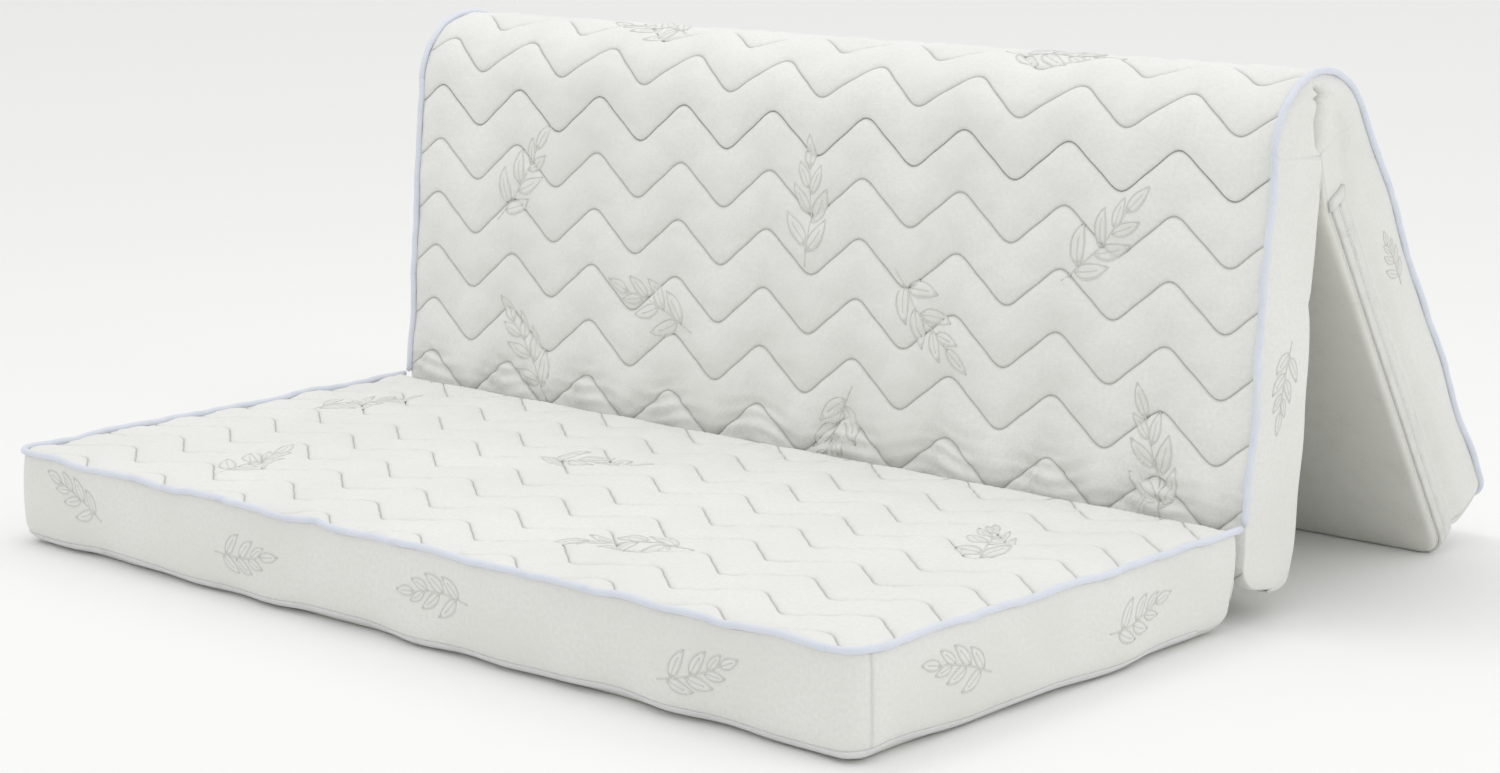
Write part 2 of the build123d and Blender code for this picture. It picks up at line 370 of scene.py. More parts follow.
def wire(name: str, points: np.ndarray, edges: list[tuple[int, int]]) -> bpy.types.Object:
    """Makes a piece of edges only, for a geometry tree to work on.

    Args:
        name: The piece's name.
        points: Points, one row each.
        edges: Pairs of point numbers.

    Returns:
        The linked object.
    """
    mesh = bpy.data.meshes.new(name)
    mesh.from_pydata(points.tolist(), edges, [])
    obj = bpy.data.objects.new(name, mesh)
    bpy.context.scene.collection.objects.link(obj)
    return obj


def dress(obj: bpy.types.Object, material: bpy.types.Material, slot: str, *nodes: str) -> bpy.types.Object:
    """Gives a piece its finish, its material slot and the CAD nodes that it stands for.

    Args:
        obj: The piece.
        material: Its finish.
        slot: The record's material slot.
        *nodes: The CAD nodes that it replaces.

    Returns:
        The same piece.
    """
    obj.data.materials.clear()
    obj.data.materials.append(material)
    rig.slot(obj, slot)
    if nodes:
        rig.replaces(obj, *nodes)
    LOG.info("%s: %d faces", obj.name, len(obj.data.polygons))
    return obj


# ---- finishes ----
@dataclass(frozen=True)
class KnitFinish:
    """Circular-knit mattress ticking: matt off-white polyester jersey.

    The loops give a faint grain, the colour drifts a little over a hand's width, and the
    needle line is painted darker, as painted shade of the stitching's groove.
    """

    name: str = "polyester_knit_ticking"
    colour: str = "E9E9E6"
    shade: str = "E1E1DD"
    roughness: float = 0.82
    rough_drift: float = 0.08
    loop_mm: float = 2.2      # real wales are about 1 mm; drawn coarser so that they show
    loop_height_mm: float = 0.08
    pile_mm: float = 5.0      # patches where the pile lies another way
    seam: str = "CACAC5"      # painted shade in the needle line, where light hardly reaches
    drift_mm: float = 160.0
    crease_mm: float = 26.0
    crease_height_mm: float = 0.22
    sheen: float = 0.25

    def build(self) -> bpy.types.Material:
        """Makes the material and returns it."""
        material = bpy.data.materials.new(self.name)
        material.use_nodes = True
        tree = material.node_tree
        tree.nodes.clear()
        uv = add_node(tree, "ShaderNodeUVMap", uv_map="cloth")
        place = add_node(tree, "ShaderNodeTexCoord")
        drift = add_node(
            tree, "ShaderNodeTexNoise",
            {"Vector": place.outputs["Object"], "Scale": 1000 / self.drift_mm, "Detail": 3.0},
        )
        pile = add_node(
            tree, "ShaderNodeTexNoise",
            {"Vector": uv.outputs["UV"], "Scale": 1000 / self.pile_mm, "Detail": 2.0},
        )
        mixed = add_node(
            tree, "ShaderNodeMath",
            {0: drift.outputs["Fac"], 1: pile.outputs["Fac"]}, operation="MULTIPLY",
        )
        ramp = add_node(tree, "ShaderNodeValToRGB", {"Fac": mixed.outputs[0]})
        ramp.color_ramp.elements[0].position = 0.12
        ramp.color_ramp.elements[1].position = 0.42
        ramp.color_ramp.elements[0].color = linear(self.shade)
        ramp.color_ramp.elements[1].color = linear(self.colour)
        wales = add_node(
            tree, "ShaderNodeTexWave",
            {"Vector": uv.outputs["UV"], "Scale": 1000 / self.loop_mm / TURN, "Distortion": 1.2,
             "Detail": 1.0, "Detail Scale": 2.0},
            bands_direction="X", wave_profile="SIN",
        )
        courses = add_node(
            tree, "ShaderNodeTexWave",
            {"Vector": uv.outputs["UV"], "Scale": 1000 / self.loop_mm / TURN, "Distortion": 1.2,
             "Detail": 1.0, "Detail Scale": 2.0},
            bands_direction="Y", wave_profile="SIN",
        )
        loops = add_node(
            tree, "ShaderNodeMath",
            {0: wales.outputs["Fac"], 1: courses.outputs["Fac"]}, operation="MULTIPLY",
        )
        creases = add_node(
            tree, "ShaderNodeTexNoise",
            {"Vector": uv.outputs["UV"], "Scale": 1000 / self.crease_mm, "Detail": 2.0,
             "Roughness": 0.45, "Distortion": 0.6},
        )
        soft = add_node(
            tree, "ShaderNodeBump",
            {"Strength": 1.0, "Distance": self.crease_height_mm * MM, "Height": creases.outputs["Fac"]},
        )
        bump = add_node(
            tree, "ShaderNodeBump",
            {"Strength": 1.0, "Distance": self.loop_height_mm * MM, "Height": loops.outputs[0],
             "Normal": soft.outputs["Normal"]},
        )
        rough = add_node(
            tree, "ShaderNodeMapRange",
            {"Value": pile.outputs["Fac"], "To Min": self.roughness - self.rough_drift,
             "To Max": self.roughness + self.rough_drift},
        )
        # painted shade: the stitching mask mixes the colour towards the seam's painted shade
        seam_shade = add_node(tree, "ShaderNodeAttribute", attribute_name=SEAM_SHADE_MARK)
        tone = add_node(
            tree, "ShaderNodeMix",
            {0: seam_shade.outputs["Fac"], 6: ramp.outputs["Color"], 7: linear(self.seam)},
            data_type="RGBA",
        )
        shader = add_node(
            tree, "ShaderNodeBsdfPrincipled",
            {"Base Color": tone.outputs[2], "Roughness": rough.outputs["Result"],
             "Normal": bump.outputs["Normal"], "Sheen Weight": self.sheen, "Sheen Roughness": 0.6,
             "Specular IOR Level": 0.25},
        )
        add_node(tree, "ShaderNodeOutputMaterial", {"Surface": shader.outputs["BSDF"]})
        return material


@dataclass(frozen=True)
class SolidFinish:
    """A finish in one colour with a fine grain read from Object coordinates."""

    name: str
    colour: str
    shade: str
    roughness: float
    grain_mm: float
    grain_height_mm: float
    metallic: float = 0.0
    sheen: float = 0.0
    specular: float = 0.4
    cells: bool = False         # True for the open cells of foam
    rough_drift: float = 0.06

    def build(self) -> bpy.types.Material:
        """Makes the material and returns it."""
        material = bpy.data.materials.new(self.name)
        material.use_nodes = True
        tree = material.node_tree
        tree.nodes.clear()
        place = add_node(tree, "ShaderNodeTexCoord")
        kind = "ShaderNodeTexVoronoi" if self.cells else "ShaderNodeTexNoise"
        grain = add_node(tree, kind, {"Vector": place.outputs["Object"], "Scale": 1000 / self.grain_mm})
        height = grain.outputs["Distance"] if self.cells else grain.outputs["Fac"]
        blotch = add_node(
            tree, "ShaderNodeTexNoise",
            {"Vector": place.outputs["Object"], "Scale": 1000 / (self.grain_mm * 14), "Detail": 2.0},
        )
        tone = add_node(tree, "ShaderNodeMath", {0: height, 1: blotch.outputs["Fac"]}, operation="ADD")
        ramp = add_node(tree, "ShaderNodeValToRGB", {"Fac": tone.outputs[0]})
        ramp.color_ramp.elements[0].position = 0.5
        ramp.color_ramp.elements[1].position = 1.1 if self.cells else 1.0
        ramp.color_ramp.elements[0].color = linear(self.shade)
        ramp.color_ramp.elements[1].color = linear(self.colour)
        bump = add_node(
            tree, "ShaderNodeBump",
            {"Strength": 1.0, "Distance": self.grain_height_mm * MM, "Height": height},
        )
        rough = add_node(
            tree, "ShaderNodeMapRange",
            {"Value": blotch.outputs["Fac"], "To Min": self.roughness - self.rough_drift,
             "To Max": self.roughness + self.rough_drift},
        )
        shader = add_node(
            tree, "ShaderNodeBsdfPrincipled",
            {"Base Color": ramp.outputs["Color"], "Roughness": rough.outputs["Result"],
             "Metallic": self.metallic, "Normal": bump.outputs["Normal"],
             "Sheen Weight": self.sheen, "Sheen Roughness": 0.5, "Specular IOR Level": self.specular},
        )
        add_node(tree, "ShaderNodeOutputMaterial", {"Surface": shader.outputs["BSDF"]})
        return material


FINISHES = {
    # circular-knit jersey over wadding: bright, matt, faint loops
    "ticking": KnitFinish(),
    # the same jersey, unquilted, pulled smooth round the sides
    "band": KnitFinish(
        name="polyester_knit_border", colour="E7E7E3", shade="DFDFDA", crease_height_mm=0.5, crease_mm=48.0,
    ),
    # plain spun base cloth: greyer and duller than the knit
    "base": SolidFinish(
        "spunbond_base_cloth", "E1E1DB", "D6D6CF", 0.9, 2.4, 0.10, sheen=0.1, specular=0.2,
    ),
    # satin bias tape over cord: bluish white with a soft lustre
    "piping": SolidFinish("satin_bias_piping", "DADFE9", "CBD1DE", 0.5, 1.6, 0.08, sheen=0.2),
    # flat woven polyester tape over the bottom seam
    "binding": SolidFinish("woven_seam_tape", "E4E5E4", "D5D7D6", 0.7, 1.2, 0.10, sheen=0.2),
    # polyester sewing thread, coloured grey as painted shade: the real thread is white, and its line looks dark from
    # shadow
    "thread": SolidFinish("polyester_thread", "BFBFBA", "ADADA8", 0.6, 0.6, 0.05, sheen=0.2),
    # open-cell polyurethane foam: off-white, pitted
    "foam": SolidFinish("polyurethane_foam", "EFEEE8", "DAD9D0", 0.95, 2.5, 0.6, specular=0.15, cells=True),
    # woven zip tape
    "zip_tape": SolidFinish("woven_zip_tape", "DCDCD8", "CBCBC6", 0.75, 1.4, 0.12, sheen=0.2),
    # moulded nylon coil, slightly glossy
    "zip_coil": SolidFinish("nylon_zip_coil", "E6E6E2", "D6D6D1", 0.38, 1.0, 0.03),
    # lacquered die-cast zinc
    "zip_metal": SolidFinish("lacquered_zinc", "CFCFCC", "B5B5B2", 0.32, 0.8, 0.02, metallic=0.85),
    # the lustrous yarn of the woven-in leaf sprigs
    "sprig": SolidFinish(
        "viscose_sprig_yarn", "E3E3DF", "DADAD5", 0.5, 1.3, 0.12, sheen=0.3, specular=0.5,
    ),
    # the tighter, darker outline of the sprigs
    "sprig_line": SolidFinish("viscose_outline_yarn", "D8D8D3", "CCCCC7", 0.6, 1.3, 0.1, sheen=0.2),
}


# ---- where the sections stand ----
class Run:
    """A line of cloth seen along X, drawn from lines and arcs, with its outward side on the left.

    Distances along it are measured on the line itself; lift is measured outwards from it.
    """

    ARC_STEP = 0.002
    LINE_STEP = 0.02

    def __init__(self, y: float, z: float, heading: float, start: float = 0.0) -> None:
        """Starts the line.

        Args:
            y, z: The first point.
            heading: Direction of travel in degrees, 0 along +Y and 90 along +Z.
            start: The distance that the first point counts as.
        """
        self.distance = [start]
        self.points = [(y, z)]
        self.headings = [math.radians(heading)]

    def line(self, length: float) -> "Run":
        """Goes straight on.

        Args:
            length: How far.

        Returns:
            The run itself.
        """
        count = max(1, round(length / self.LINE_STEP))
        y, z = self.points[-1]
        angle = self.headings[-1]
        for k in range(1, count + 1):
            step = length * k / count
            self.points.append((y + step * math.cos(angle), z + step * math.sin(angle)))
            self.headings.append(angle)
            self.distance.append(self.distance[-1] + length / count)
        return self

    def arc(self, radius: float, degrees: float) -> "Run":
        """Turns to the right.

        Args:
            radius: Of the turn.
            degrees: Angle that it turns through.

        Returns:
            The run itself.
        """
        total = math.radians(degrees)
        count = max(2, round(radius * total / self.ARC_STEP))
        y, z = self.points[-1]
        angle = self.headings[-1]
        cy, cz = y + radius * math.sin(angle), z - radius * math.cos(angle)
        for k in range(1, count + 1):
            now = angle - total * k / count
            self.points.append((cy - radius * math.sin(now), cz + radius * math.cos(now)))
            self.headings.append(now)
            self.distance.append(self.distance[-1] + radius * total / count)
        return self

    @property
    def end(self) -> float:
        """The distance at the line's end."""
        return self.distance[-1]

    def at(self, s: np.ndarray, lift: np.ndarray | float = 0.0) -> np.ndarray:
        """Finds places beside the line.

        Args:
            s: Distances along it.
            lift: Distance outwards from it.

        Returns:
            The places' (y, z) pairs.
        """
        points = np.array(self.points)
        angle = np.interp(s, self.distance, self.headings)
        y = np.interp(s, self.distance, points[:, 0])
        z = np.interp(s, self.distance, points[:, 1])
        return np.stack([y - lift * np.sin(angle), z + lift * np.cos(angle)], -1)

    def along(self, s: np.ndarray) -> np.ndarray:
        """Returns the direction of travel, as (y, z), at distance s."""
        angle = np.interp(s, self.distance, self.headings)
        return np.stack([np.cos(angle), np.sin(angle)], -1)


@dataclass
class Layout:
    """Sizes and places of the sections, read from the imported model."""

    opened_gap: float = 0.002       # seat to back when the mattress lies open
    fold_round: float = 0.014       # the seat's quilted edge at the crease
    seat_heel: float = 0.032
    undercut: float = 0.013
    toe_round: float = 0.036        # the back's lower quilted edge
    back_heel: float = 0.045
    split_height: float = 0.060     # where quilt and underside meet on a fold end
    notch_round: float = 0.02       # rounding into the notch under the top fold
    clear: float = 0.003            # the undersides stop short by this
    corner: float = 0.030
    middle: float = field(init=False)
    half: float = field(init=False)

    def __post_init__(self) -> None:
        """Reads the model and lays out the runs."""
        joints = {joint["name"]: joint for joint in frame["joints"]}
        low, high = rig.box("seat_ticking")
        self.middle = (low.x + high.x) / 2
        self.half = (high.x - low.x) / 2
        self.front = low.y
        self.thick = high.z
        self.seat_len = high.y - low.y
        valley = joints["valley_fold"]
        ridge = joints["mountain_fold"]
        self.valley = np.array(valley["pos_m"][1:])
        self.ridge = np.array(ridge["pos_m"][1:])
        self.back_turn = -valley["range_deg"][0]
        self.fold_turn = ridge["range_deg"][1]
        opened = np.array([self.front + self.seat_len + self.opened_gap, 0.0])
        flat_ridge = self.valley + self.turned(self.ridge - self.valley, -self.back_turn)
        self.back_len, self.hinge_height = flat_ridge - opened
        self.back_zero = self.valley + self.turned(opened - self.valley, self.back_turn)
        self.rear_turn = self.back_turn - self.fold_turn
        self.depth = self.thick - self.hinge_height
        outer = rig.box("rear_ticking")[1].y
        lean = math.radians(self.rear_turn)
        reach = outer - self.ridge[0] + self.depth * math.sin(lean)
        self.rear_len = reach / math.cos(lean)
        notch = (180 - self.fold_turn) / 2
        self.notch = notch
        self.notch_run = self.hinge_height / math.sin(math.radians(notch))
        self.notch_len = self.hinge_height / math.tan(math.radians(notch))
        self.make_runs()

    @staticmethod
    def turned(point: np.ndarray, degrees: float) -> np.ndarray:
        """Turns a (y, z) pair about the origin."""
        c, s = math.cos(math.radians(degrees)), math.sin(math.radians(degrees))
        return np.array([point[0] * c - point[1] * s, point[0] * s + point[1] * c])

    def back_point(self, u: float, w: float) -> np.ndarray:
        """(y, z) of a point of the back, given lying flat."""
        return self.back_zero + self.turned(np.array([u, w]), self.back_turn)

    def rear_point(self, u: float, w: float) -> np.ndarray:
        """(y, z) of a point of the rear section, given lying flat."""
        return self.ridge + self.turned(np.array([u, w - self.hinge_height]), self.rear_turn)

    def make_runs(self) -> None:
        """Draws the quilted faces and the undersides as runs."""
        slope = math.degrees(math.atan2(self.undercut, self.thick))
        lean = math.radians(slope)
        setback = (self.fold_round + self.fold_round * math.sin(lean)) / math.cos(lean)
        self.seat_flat = self.seat_len - setback
        self.seat_top = Run(self.front, self.thick, 0).line(self.seat_flat)
        self.seat_top.arc(self.fold_round, 90 + slope)
        drop = self.seat_top.points[-1][1] - self.split_height
        self.seat_top.line(drop / math.cos(lean))
        y, z = self.seat_top.points[-1]
        self.seat_low = Run(y, z, -90 - slope)
        heel_drop = self.split_height - self.seat_heel * (1 - math.sin(lean))
        self.seat_low.line(heel_drop / math.cos(lean)).arc(self.seat_heel, 90 - slope)
        self.seat_low.line(self.seat_low.points[-1][0] - self.front)
        toe_line = self.thick - self.toe_round - self.split_height
        toe_arc = self.toe_round * math.pi / 2
        y, z = self.back_point(0, self.split_height)
        self.quilt = Run(y, z, 90 + self.back_turn, self.toe_round - toe_arc - toe_line)
        self.quilt.line(toe_line).arc(self.toe_round, 90).line(self.back_len - self.toe_round)
        self.quilt.arc(self.depth, self.fold_turn)
        self.rear_zero = self.quilt.end
        self.quilt.line(self.rear_len)
        y, z = self.back_point(self.back_len, self.hinge_height)
        self.back_low = Run(y, z, self.back_turn - 180 + self.notch)
        self.back_low.line(self.notch_run).arc(self.notch_round, self.notch)
        self.back_low.line(self.back_len - self.notch_len - self.back_heel - self.clear)
        self.back_low.arc(self.back_heel, 90).line(self.split_height - self.back_heel)
        y, z = self.rear_point(self.rear_len, 0)
        self.rear_low = Run(y, z, self.rear_turn - 180)
        self.rear_low.line(self.rear_len - self.notch_len - self.clear).arc(self.notch_round, self.notch)
        self.rear_low.line(self.notch_run)


# ---- ripples that neighbouring pieces share ----
@dataclass(frozen=True)
class Ripple:
    """A fixed, irregular ripple over the cloth, so that all that is sewn into a seam moves with it."""

    seed: int
    height: float
    length: float
    layers: int = 6

    def at(self, x: np.ndarray, s: np.ndarray) -> np.ndarray:
        """Sums the ripple's waves.

        Args:
            x: Along the long side.
            s: Along the quilted face.

        Returns:
            The ripple's height at each place.
        """
        rng = np.random.default_rng(self.seed)
        total = np.zeros(np.broadcast(x, s).shape)
        for _ in range(self.layers):
            pitch = self.length * rng.uniform(0.55, 1.6)
            angle = rng.uniform(0.25, 1.3)
            phase = rng.uniform(0, TURN)
            wave = (x * math.cos(angle) + s * math.sin(angle)) / pitch
            total = total + np.sin(2 * math.pi * wave + phase)
        return total * self.height / math.sqrt(self.layers)


@dataclass
class Section:
    """One foam section's cloth: its runs, outline and ripples."""

    part: Part
    top: Run
    low: Run
    top_range: tuple[float, float]     # distances on the top run, from this section's start to its end
    low_range: tuple[float, float]     # matching distances on the low run
    free: float | None                 # distance on the top run of the free edge
    free_sign: int                     # -1 where the free edge is the start, +1 where it is the end
    half: float
    middle: float
    corner: float
    edge: float                        # rounding of the bottom edge
    hem: float                         # height of the bottom seam
    bulge: float
    calm: float                        # height below which the band stays straight
    round_from: float                  # distance where the rounded fold end begins
    zero: np.ndarray                   # (y, z) of its origin, on the plane of the underside
    turn: float                        # degrees that it is turned from lying flat
    seam_drop: float = 0.005           # top seam, below the quilted face
    tuck: float = 0.002                # seams on the fold ends, inside the cloth's face
    seed: int = 1
    dents: tuple = ()                  # side creases: distance, height, lean, reach, width, depth
    furrow: float = 0.0                # depth of the puckered hollow that runs above the zip

    def __post_init__(self) -> None:
        """Makes the ripples."""
        self.rim_out = Ripple(self.seed, 0.0014, 0.16)
        self.rim_up = Ripple(self.seed + 1, 0.0015, 0.13)
        self.hem_out = Ripple(self.seed + 2, 0.0026, 0.15)
        self.hem_up = Ripple(self.seed + 3, 0.0020, 0.17)
        self.slack = Ripple(self.seed + 4, 0.0018, 0.11)
        self.kink = Ripple(self.seed + 6, 0.0005, 0.052)

    def floor_height(self, b: np.ndarray) -> np.ndarray:
        """Measures how high the low run stands over the plane of the underside.

        Args:
            b: Distances on the low run.

        Returns:
            The heights, none below 0.
        """
        angle = math.radians(self.turn)
        away = self.low.at(b) - self.zero
        return np.maximum(away @ np.array([-math.sin(angle), math.cos(angle)]), 0.0)

    def hem_at(self, b: np.ndarray) -> np.ndarray:
        """Height of the bottom seam over the low run."""
        share = smooth(self.floor_height(b) / FOLD_REACH)
        return self.hem * (1 - share) + self.tuck * share

    def fold_share(self, s: np.ndarray) -> np.ndarray:
        """Tells how far the top cloth has turned onto a rounded fold end.

        Args:
            s: Distances on the top run.

        Returns:
            Shares from 0 to 1.
        """
        ahead, length = 0.004, 0.012
        if self.part is Part.SEAT:
            return smooth((s - self.round_from + ahead) / length)
        return smooth((self.round_from + ahead - s) / length)

    def drop_at(self, s: np.ndarray) -> np.ndarray:
        """Depth of the top seam below the quilted face."""
        share = self.fold_share(s)
        return self.seam_drop * (1 - share) + self.tuck * share

    def low_distance(self, s: np.ndarray) -> np.ndarray:
        """The distance on the low run that lies under a distance on the top run."""
        share = (s - self.top_range[0]) / (self.top_range[1] - self.top_range[0])
        return self.low_range[0] + share * (self.low_range[1] - self.low_range[0])

    def top_distance(self, b: np.ndarray) -> np.ndarray:
        """The distance on the top run that lies over a distance on the low run."""
        share = (b - self.low_range[0]) / (self.low_range[1] - self.low_range[0])
        return self.top_range[0] + share * (self.top_range[1] - self.top_range[0])

    def rim_gap(self, x: np.ndarray, s: np.ndarray) -> np.ndarray:
        """Measures inwards from the sewn rim, at the sides and at the free edge.

        Args:
            x: Along the long side.
            s: Along the quilted face.

        Returns:
            The distances.
        """
        side = self.half - np.abs(x)
        if self.free is None:
            return side
        end = (self.free - s) * self.free_sign
        r = self.corner
        inside = np.hypot(np.maximum(r - side, 0), np.maximum(r - end, 0))
        return np.where((side < r) & (end < r), r - inside, np.minimum(side, end))

    def inset(self, height: np.ndarray) -> np.ndarray:
        """How far the rounded bottom edge lies inside the band at a height."""
        rise = np.clip(self.edge - height, 0, self.edge)
        return self.edge - np.sqrt(self.edge**2 - rise**2)

    def rim(self, step: float = 0.008, arc: int = 9) -> np.ndarray:
        """Goes round the sewn rim, from the left fold end round the free edge to the right one.

        Args:
            step: Distance between points on the straight stretches.
            arc: Points on each rounded corner.

        Returns:
            Rows of (x, s, outward x, outward s).
        """
        fold = self.top_range[1] if self.free_sign < 0 else self.top_range[0]
        centre_s = self.free - self.free_sign * self.corner
        centre_x = self.half - self.corner
        rows = []
        count = max(2, round(abs(fold - centre_s) / step))
        for s in np.linspace(fold, centre_s, count, endpoint=False):
            rows.append((-self.half, s, -1.0, 0.0))
        for k in range(arc):
            a = math.pi / 2 * k / (arc - 1)
            rows.append((
                -centre_x - self.corner * math.cos(a),
                centre_s + self.free_sign * self.corner * math.sin(a),
                -math.cos(a), self.free_sign * math.sin(a),
            ))
        count = round(2 * centre_x / step)
        for x in np.linspace(-centre_x, centre_x, count)[1:-1]:
            rows.append((x, self.free, 0.0, float(self.free_sign)))
        left = np.array(rows)
        turn = arc + max(2, round(abs(fold - centre_s) / step))
        right = left[:turn][::-1].copy()
        right[:, 0] *= -1
        right[:, 2] *= -1
        return np.vstack([left, right])

    def side(self, sign: int, step: float = 0.008) -> np.ndarray:
        """Goes along one side from the section's start to its end.

        Args:
            sign: -1 for the left side and 1 for the right one.
            step: Distance between points.

        Returns:
            Rows as rim() gives them.
        """
        s0, s1 = self.top_range
        s = np.linspace(s0, s1, max(2, round((s1 - s0) / step)))
        one = np.ones_like(s)
        return np.stack([sign * self.half * one, s, sign * one, 0 * one], -1)

    def outward(self, rim: np.ndarray) -> np.ndarray:
        """Outward directions of rim points, in the row frame."""
        along = self.top.along(rim[:, 1])
        return np.column_stack([rim[:, 2], along * rim[:, 3:4]])

    def wall(self, rim: np.ndarray, share: np.ndarray) -> np.ndarray:
        """Finds points of the band cloth.

        Args:
            rim: Rows as rim() or side() gives them.
            share: From 0 at the top seam to 1 at the bottom seam.

        Returns:
            An array of len(rim) by len(share) points.
        """
        x, s = rim[:, 0], rim[:, 1]
        b = self.low_distance(s)
        hem = self.hem_at(b)
        up = self.rim_up.at(x, s)
        rise = 0 * s
        if self.calm == 0:
            rise = self.hem_up.at(x, s) * (1 - smooth(self.floor_height(b) / FOLD_REACH))
        head = self.top.at(s, up - self.drop_at(s))
        foot = self.low.at(b, -hem - rise)
        tall = np.linalg.norm(head - foot, axis=1)[:, None]
        f = np.broadcast_to(share, (len(rim), share.shape[-1]))
        height = hem[:, None] + tall * (1 - f)
        over = np.maximum(tall + hem[:, None] - self.calm, 1e-4)
        grow = np.clip((height - self.calm) / over, 0, 1)
        size = np.clip(tall / FULL_HEIGHT, 0, 1)
        body = np.sin(math.pi * grow) ** 0.8 * size * (height > self.calm)
        long_x = x[:, None] + 0.35 * height      # the slack leans, so its ripples run aslant
        long_s = s[:, None] + 0.2 * height
        push = (self.bulge + self.slack.at(long_x, long_s)) * body
        push = push - self.creases(rim, height)
        push = push - self.inset(height + self.floor_height(b)[:, None])
        push = push + self.rim_out.at(x, s)[:, None] * (1 - f)
        if self.calm == 0:
            push = push + self.hem_out.at(x, s)[:, None] * f * size
        yz = head[:, None, :] * (1 - f[..., None]) + foot[:, None, :] * f[..., None]
        base = np.concatenate([np.broadcast_to(x[:, None, None], yz.shape[:2] + (1,)), yz], -1)
        return base + self.outward(rim)[:, None, :] * push[..., None]

    def creases(self, rim: np.ndarray, height: np.ndarray) -> np.ndarray:
        """Adds up the band's own creases: single dents on the sides, and the hollow above the zip.

        Args:
            rim: Rows as rim() or side() gives them.
            height: Heights over the underside, one row for each row of rim.

        Returns:
            The creases' depth at each height.
        """
        s = rim[:, 1:2]
        total = np.zeros(height.shape)
        for distance, level, lean, reach, width, depth in self.dents:
            c, n = math.cos(math.radians(lean)), math.sin(math.radians(lean))
            along = (s - distance) * c + (height - level) * n
            across = (height - level) * c - (s - distance) * n
            total = total + depth * np.exp(-((across / width) ** 2) - (along / reach) ** 2)
        total = total * np.abs(rim[:, 2:3])
        if self.furrow:
            pitch, above, reach = 0.043, 0.006, 0.008
            run = rim[:, 0:1] + s
            wave = 2 * math.pi * (run + 0.4 * height) / pitch + 1.6 * np.sin(run * 19)
            pucker = 0.5 + 0.5 * np.sin(wave)
            near = np.exp(-(((height - self.calm - above) / reach) ** 2))
            total = total + self.furrow * near * (0.55 + 0.45 * pucker)
        return total

    def strip(self, rim: np.ndarray, heights: np.ndarray, proud: np.ndarray) -> np.ndarray:
        """Finds points that stand proud of the band.

        Args:
            rim: Rows as rim() or side() gives them.
            heights: Over the underside.
            proud: How far out each height's point stands.

        Returns:
            An array of len(rim) by len(heights) points.
        """
        b = self.low_distance(rim[:, 1])
        head = self.top.at(rim[:, 1], -self.seam_drop)
        foot = self.low.at(b, -self.hem)
        tall = np.linalg.norm(head - foot, axis=1)[:, None]
        share = 1 - (np.asarray(heights)[None, :] - self.hem) / tall
        return self.wall(rim, share) + self.outward(rim)[:, None, :] * np.asarray(proud)[None, :, None]


class Mattress:
    """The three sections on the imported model's layout."""

    def __init__(self) -> None:
        """Sets out the sections."""
        lay = Layout()
        self.lay = lay
        shared = dict(half=lay.half, middle=lay.middle, corner=lay.corner)
        self.seat = Section(
            Part.SEAT, lay.seat_top, lay.seat_low, (0.0, lay.seat_top.end), (lay.seat_low.end, 0.0),
            0.0, -1, edge=0.026, hem=0.010, bulge=0.0045, calm=0.0, round_from=lay.seat_flat,
            zero=np.array([lay.front, 0.0]), turn=0.0, seed=11, **shared,
        )
        self.back = Section(
            Part.BACK, lay.quilt, lay.back_low, (lay.quilt.distance[0], lay.back_len),
            (lay.back_low.end, 0.0), None, 0, edge=0.026, hem=0.010, bulge=0.004, calm=0.0,
            round_from=lay.toe_round, zero=lay.back_zero, turn=lay.back_turn, seed=31,
            dents=((lay.back_len - 0.050, 0.034, -58, 0.034, 0.0065, 0.0050),
                   (lay.back_len - 0.095, 0.056, -48, 0.026, 0.0060, 0.0030),
                   (lay.back_len - 0.175, 0.026, -66, 0.030, 0.0080, 0.0030)), **shared,
        )
        self.rear = Section(
            Part.REAR, lay.quilt, lay.rear_low, (lay.rear_zero, lay.quilt.end),
            (lay.rear_low.end, 0.0), lay.quilt.end, 1, edge=0.008, hem=0.006, bulge=0.004, calm=0.040,
            round_from=0.0, zero=lay.rear_point(0, 0), turn=lay.rear_turn, seed=31,
            dents=((lay.rear_zero + 0.045, 0.070, 40, 0.030, 0.0070, 0.0032),
                   (lay.rear_zero + 0.110, 0.076, 28, 0.034, 0.0080, 0.0026)), furrow=0.0055, **shared,
        )


